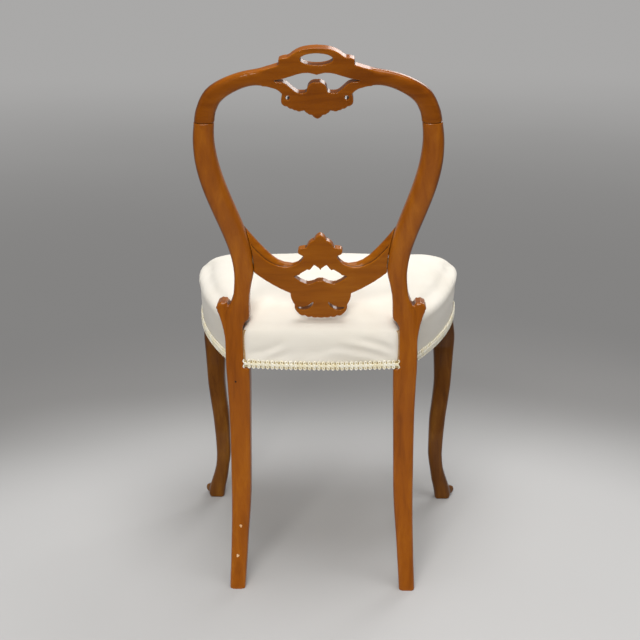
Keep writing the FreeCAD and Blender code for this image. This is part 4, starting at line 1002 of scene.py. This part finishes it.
@dataclass
class Braid:
    """The looped gimp along the lower edge of the cloth."""

    effects: Effects
    pitch: float = 0.0074
    cord_radius: float = 0.0012
    loop_along: float = 0.0034
    loop_height: float = 0.0031
    loop_offset: float = 0.0035
    plait_height: float = 0.0014
    ribbon_height: float = 0.011
    ribbon_thickness: float = 0.0008
    ribbon_step: float = 0.004
    inset: float = 0.0009
    stitch: float = 0.0004
    centre_height: float = 0.3745
    points_per_loop: int = 12
    back_steps: int = 20
    crease: float = 0.001
    sag: float = 0.0035
    cord_finish: CordFinish = CordFinish("gimp_cord", (0.9, 0.87, 0.76), (0.85, 0.77, 0.54))
    # The tape behind the cords, darkened: partly its own colour, partly painted shade in the gaps between the
    # cords.
    shaded_tape_finish: CordFinish = CordFinish("gimp_tape_shaded", (0.5, 0.4, 0.2), (0.38, 0.28, 0.12))

    def outline(self) -> list[Vector]:
        """The middle of the braid round the sides and the front, from the surround gimp's node."""
        shape = solid_of("surround_gimp")
        cut = bmesh.ops.bisect_plane(
            shape, geom=parts_of(shape), plane_co=UP * self.centre_height, plane_no=UP,
            clear_inner=True, clear_outer=True,
        )
        points = [vert.co.copy() for vert in verts_in(cut["geom_cut"])]
        shape.free()
        low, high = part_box("surround_gimp")
        middle = Vector((0.0, 0.5 * (low[1] + high[1]), self.centre_height))
        around = sorted(points, key=lambda point: math.atan2(point.x, -(point.y - middle.y)))
        outer = []
        for point in around:
            reach = (point - middle).length
            near = [other for other in around if other is not point and (other - point).length < 0.004]
            if all((other - middle).length <= reach + 0.0005 for other in near):
                outer.append(point)
        return [point + (middle - point).normalized() * self.inset for point in outer]

    def evenly(self, points: list[Vector], spacing: float) -> list[Vector]:
        """Points an even distance apart along a line through some points."""
        along = [0.0]
        for before, after in zip(points, points[1:]):
            along.append(along[-1] + (after - before).length)
        count = max(2, round(along[-1] / spacing))
        even, i = [], 0
        for step in range(count + 1):
            wanted = along[-1] * step / count
            while i < len(points) - 2 and along[i + 1] < wanted:
                i += 1
            share = (wanted - along[i]) / max(along[i + 1] - along[i], 1e-9)
            even.append(points[i].lerp(points[i + 1], share))
        return even

    def cord(self, path: list[Vector], side: float, start: float) -> list[Vector]:
        """One looped cord's points.

        Args:
            path: The braid's middle line, with the points of each loop evenly spaced.
            side: 1 for the cord above the middle line, -1 for the one below; its loops turn that way.
            start: The share of a loop by which it starts.

        Returns:
            The cord's centre line.
        """
        points = []
        for i, centre in enumerate(path):
            out = self.outward(path, i)
            ahead = UP.cross(out)
            turn = 2 * math.pi * (i / self.points_per_loop + start)
            shift = ahead * (-self.loop_along * math.sin(turn) * side)
            lift = self.loop_offset * side + self.loop_height * math.cos(turn)
            points.append(centre + shift + UP * lift + out * (self.stitch + 0.0006 * math.sin(turn)))
        return points

    def tube(self, lines: list[list[Vector]], name: str) -> Piece:
        """Round cords along some lines, as one mesh."""
        curve = bpy.data.curves.new(name, "CURVE")
        curve.dimensions = "3D"
        curve.bevel_depth = self.cord_radius
        curve.bevel_resolution = 1
        curve.use_fill_caps = True
        for line in lines:
            spline = curve.splines.new("POLY")
            spline.points.add(len(line) - 1)
            for point, place in zip(spline.points, line):
                point.co = (*place, 1.0)
        holder = put(name + "_line", curve)
        mesh = evaluated(holder)
        bpy.data.objects.remove(holder)
        bpy.data.curves.remove(curve)
        return put(name, mesh)

    def braid(self, line: list[Vector], name: str) -> Piece:
        """Looped cords above and below, and a plait between them."""
        path = self.evenly(line, self.pitch / self.points_per_loop)
        rows = [self.cord(path, 1.0, 0.0), self.cord(path, -1.0, 0.5)]
        for start in (0.0, 0.5):
            plait = []
            for i, centre in enumerate(path):
                lift = self.plait_height * math.sin(2 * math.pi * (i / self.points_per_loop + start))
                plait.append(centre + UP * lift + self.outward(path, i) * self.inset)
            rows.append(plait)
        return self.tube(rows, name)

    def outward(self, path: list[Vector], i: int) -> Vector:
        """The level direction away from the seat at one point of a path."""
        ahead = path[min(i + 1, len(path) - 1)] - path[max(i - 1, 0)]
        return ahead.cross(UP).normalized()

    def ribbon(self, line: list[Vector], name: str) -> Piece:
        """The flat tape that the cords are stitched to."""
        path = self.evenly(line, self.ribbon_step)
        shape = bmesh.new()
        row = []
        for i, point in enumerate(path):
            low = point - UP * (self.ribbon_height / 2)
            row.append(shape.verts.new(low - self.outward(path, i) * self.stitch))
        edges = [shape.edges.new(pair) for pair in zip(row, row[1:])]
        raised = bmesh.ops.extrude_edge_only(shape, edges=edges)["geom"]
        bmesh.ops.translate(shape, verts=verts_in(raised), vec=UP * self.ribbon_height)
        bmesh.ops.solidify(shape, geom=list(shape.faces), thickness=self.ribbon_thickness)
        bmesh.ops.recalc_face_normals(shape, faces=shape.faces)
        return stand(name, shape)

    def make(self) -> None:
        """Models and dresses both lengths of braid."""
        cord_look = self.cord_finish.material(self.effects)
        shaded_tape_look = self.shaded_tape_finish.material(self.effects)
        _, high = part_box("back_gimp")
        back = []
        for step in range(2 * self.back_steps + 1):
            share = step / self.back_steps - 1
            x = -share * (high[0] - 0.001)
            height = self.centre_height - self.sag * (1 - share ** 2)
            back.append(Vector((x, high[1] - self.inset, height)))
        for line, node in ((self.outline(), "surround_gimp"), (back, "back_gimp")):
            tape, cords = self.ribbon(line, node + "_tape"), self.braid(line, node + "_cords")
            for piece, material in ((tape, shaded_tape_look), (cords, cord_look)):
                record_bend(piece, self.crease, 0)
                dress(piece, material)
                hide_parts(node)
            cords.data.shade_smooth()


# Under the seat.


@dataclass
class Underside:
    """The frame, webbing, springs and fastenings that only show from below."""

    effects: Effects
    beech: WoodFinish = WoodFinish(
        "beech_frame", (0.24, 0.14, 0.06), (0.42, 0.27, 0.13), (0.56, 0.39, 0.21), grain=Grain.SIDEWAYS,
        band_scale=140.0, fibre=0.4, roughness=0.6, coat=0.0, bump=0.00012, edge_wear_and_shading=False,
    )
    side_beech: WoodFinish = replace(beech, name="beech_side_frame", grain=Grain.FORWARD)
    dowel: WoodFinish = WoodFinish(
        "dowel_birch", (0.4, 0.27, 0.14), (0.55, 0.4, 0.23), (0.68, 0.53, 0.34), grain=Grain.FORWARD,
        band_scale=180.0, fibre=0.3, roughness=0.6, coat=0.0, edge_wear_and_shading=False,
    )
    jute: ClothFinish = ClothFinish(
        "jute_webbing", (0.46, 0.33, 0.17), (0.33, 0.22, 0.1), threads=420.0, bump=0.0006, gap_shade_share=0.6,
    )
    hessian: ClothFinish = ClothFinish(
        "spring_hessian", (0.42, 0.3, 0.16), (0.3, 0.2, 0.09), threads=520.0, bump=0.0005, gap_shade_share=0.75,
    )
    spring: SteelFinish = SteelFinish("spring_steel", (0.42, 0.4, 0.37), (0.2, 0.08, 0.03))
    screw: SteelFinish = SteelFinish("screw_steel", (0.38, 0.36, 0.33), (0.16, 0.07, 0.03), rust_share=0.2)
    tack: SteelFinish = SteelFinish(
        "blued_tacks", (0.09, 0.1, 0.13), (0.12, 0.06, 0.03), rust_share=0.15, roughness=0.4,
    )

    def polished(self, node: str, finish: SteelFinish) -> None:
        """Copies a round piece's node and shades it smooth, but for its sharp edges."""
        shape = solid_of(node)
        bmesh.ops.recalc_face_normals(shape, faces=shape.faces)
        for edge in shape.edges:
            edge.smooth = len(edge.link_faces) == 2 and edge.calc_face_angle(0.0) < math.radians(35)
        for face in shape.faces:
            face.smooth = True
        piece = stand(node + "_steel", shape)
        dress(piece, finish.material(self.effects))
        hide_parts(node)

    def make(self) -> None:
        """Dresses everything under the seat."""
        blocks = ("back_left", "back_right", "front_left", "front_right")
        dressed = (
            (self.beech, (*CROSS_RAILS, *(name + "_corner_block" for name in blocks))),
            (self.side_beech, SIDE_RAILS),
            (self.dowel, ("crest_rail_dowels", "cross_rail_dowels", "seat_rail_dowels")),
            (self.jute, ("cross_webbing", "long_webbing")),
            (self.hessian, ("spring_hessian",)),
        )
        for finish, names in dressed:
            material = finish.material(self.effects)
            for name in names:
                paint_node(name, material)
        self.polished("seat_springs", self.spring)
        self.polished("corner_block_screws", self.screw)
        self.polished("webbing_tacks", self.tack)


# The room.


@dataclass(frozen=True)
class Lamp:
    """A soft square lamp: its name, place, side, power in watts and tint."""

    name: str
    place: Place
    side: float
    power: float
    tint: Colour = (1.0, 1.0, 1.0)


@dataclass
class Studio:
    """The floor, the lamps, the sky and the camera."""

    focal: float = 1400.0 / 640.0
    eye: Place = (-0.0850, 2.2633, 1.0752)
    yaw: float = 0.041
    pitch: float = 0.29
    roll: float = -0.008
    sensor: float = 36.0
    lamps: tuple[Lamp, ...] = (
        Lamp("overhead", (-0.2, 0.3, 2.9), 1.8, 60.0),
        Lamp("rear_box", (0.4, 3.3, 2.3), 1.5, 84.0, (1.0, 0.985, 0.96)),
        Lamp("front_box", (-1.2, -2.8, 2.4), 1.5, 40.0),
    )
    lamps_aim: Place = (0.0, 0.0, 0.45)
    floor_reach: float = 50.0
    floor_middle: Place = (0.0, 0.25, 0.0)
    # Paler near the chair as a painted pool of light; far away the floor glows from a middle tone to the
    # sky's.
    floor_light_pool: Colour = (0.5, 0.495, 0.49)
    middle_floor: Colour = (0.25, 0.245, 0.24)
    middle_glow: Colour = (0.23, 0.226, 0.222)
    sky: Colour = (0.4, 0.395, 0.39)

    def camera(self) -> None:
        """Sets the camera at the photograph's viewing angle."""
        flat = math.cos(self.pitch)
        ahead = Vector((math.sin(self.yaw) * flat, -math.cos(self.yaw) * flat, -math.sin(self.pitch)))
        level = ahead.cross(UP).normalized()
        above = level.cross(ahead)
        right = level * math.cos(self.roll) + above * math.sin(self.roll)
        up = above * math.cos(self.roll) - level * math.sin(self.roll)
        lens = bpy.data.cameras.new("camera")
        lens.sensor_width = self.sensor
        lens.lens = self.focal * lens.sensor_width
        lens.clip_end = self.floor_reach + 10.0
        camera = put("camera", lens)
        camera.matrix_world = Matrix.Translation(self.eye) @ Matrix((right, up, -ahead)).transposed().to_4x4()
        bpy.context.scene.camera = camera

    def floor(self) -> None:
        """Lays the floor, paler round the chair as a painted pool of light, and glowing far away with a
        painted backdrop tone that fades to the sky's colour.
        """
        shape = bmesh.new()
        bmesh.ops.create_circle(shape, cap_ends=True, radius=self.floor_reach, segments=96)
        floor = stand("floor", shape)
        material, graph, shader = start_material("studio_floor")
        place = graph.place()
        ragged = graph.span(graph.noise(place, 0.7, 2.0), 0.3, 0.7, -0.08, 0.08)
        reach = graph.plus(graph.distance(place, self.floor_middle), ragged)
        beyond = graph.span(reach, 1.15, 1.7)
        # A painted pool of light round the chair.
        colour = graph.blend(graph.span(reach, 0.62, 1.2), self.floor_light_pool, self.middle_floor)
        # The far floor glows with a painted backdrop tone, though it is no lamp.
        tone = graph.blend(graph.span(reach, 2.0, 7.5), self.middle_glow, self.sky)
        black = (0.0, 0.0, 0.0)
        graph.set(shader, {
            "Base Color": graph.blend(beyond, colour, black),
            "Emission Color": graph.blend(beyond, black, tone),
            "Emission Strength": 1.0, "Roughness": 0.8, "Specular IOR Level": 0.0,
        })
        floor.data.materials.append(material)

    def hang(self, lamp: Lamp) -> None:
        """Hangs one lamp and turns it to the chair."""
        light = bpy.data.lights.new(lamp.name, "AREA")
        light.size = lamp.side
        light.energy = lamp.power
        light.color = lamp.tint
        place = Vector(lamp.place)
        turn = (Vector(self.lamps_aim) - place).to_track_quat("-Z", "Y")
        put(lamp.name, light).matrix_world = Matrix.Translation(place) @ turn.to_matrix().to_4x4()

    def lights(self) -> None:
        """Hangs the lamps and sets the sky."""
        for lamp in self.lamps:
            self.hang(lamp)
        world = bpy.data.worlds.new("sky")
        bpy.context.scene.world = world
        world.use_nodes = True
        graph = Graph(world.node_tree)
        light = graph.add("ShaderNodeBackground", {"Color": (1.0, 1.0, 1.0), "Strength": 0.2})
        seen = graph.add("ShaderNodeBackground", {"Color": self.sky, "Strength": 1.0})
        path = graph.add("ShaderNodeLightPath")
        sides = {0: path.outputs["Is Camera Ray"], 1: light.outputs[0], 2: seen.outputs[0]}
        mixed = graph.add("ShaderNodeMixShader", sides)
        graph.add("ShaderNodeOutputWorld", {"Surface": mixed.outputs[0]})

    def make(self) -> None:
        """Sets the whole room."""
        bpy.context.scene.view_settings.view_transform = "Standard"
        self.camera()
        self.floor()
        self.lights()


def main() -> None:
    """Builds the chair's pieces in order."""
    logging.basicConfig(level=logging.INFO, format="%(name)s: %(message)s")
    Studio().make()
    effects = Effects(figure_group(), wear_and_shading_group(), weave_group())
    for part in (ShownWood(effects), Seat(effects), Braid(effects), Underside(effects)):
        part.make()


if __name__ == "__main__":
    main()
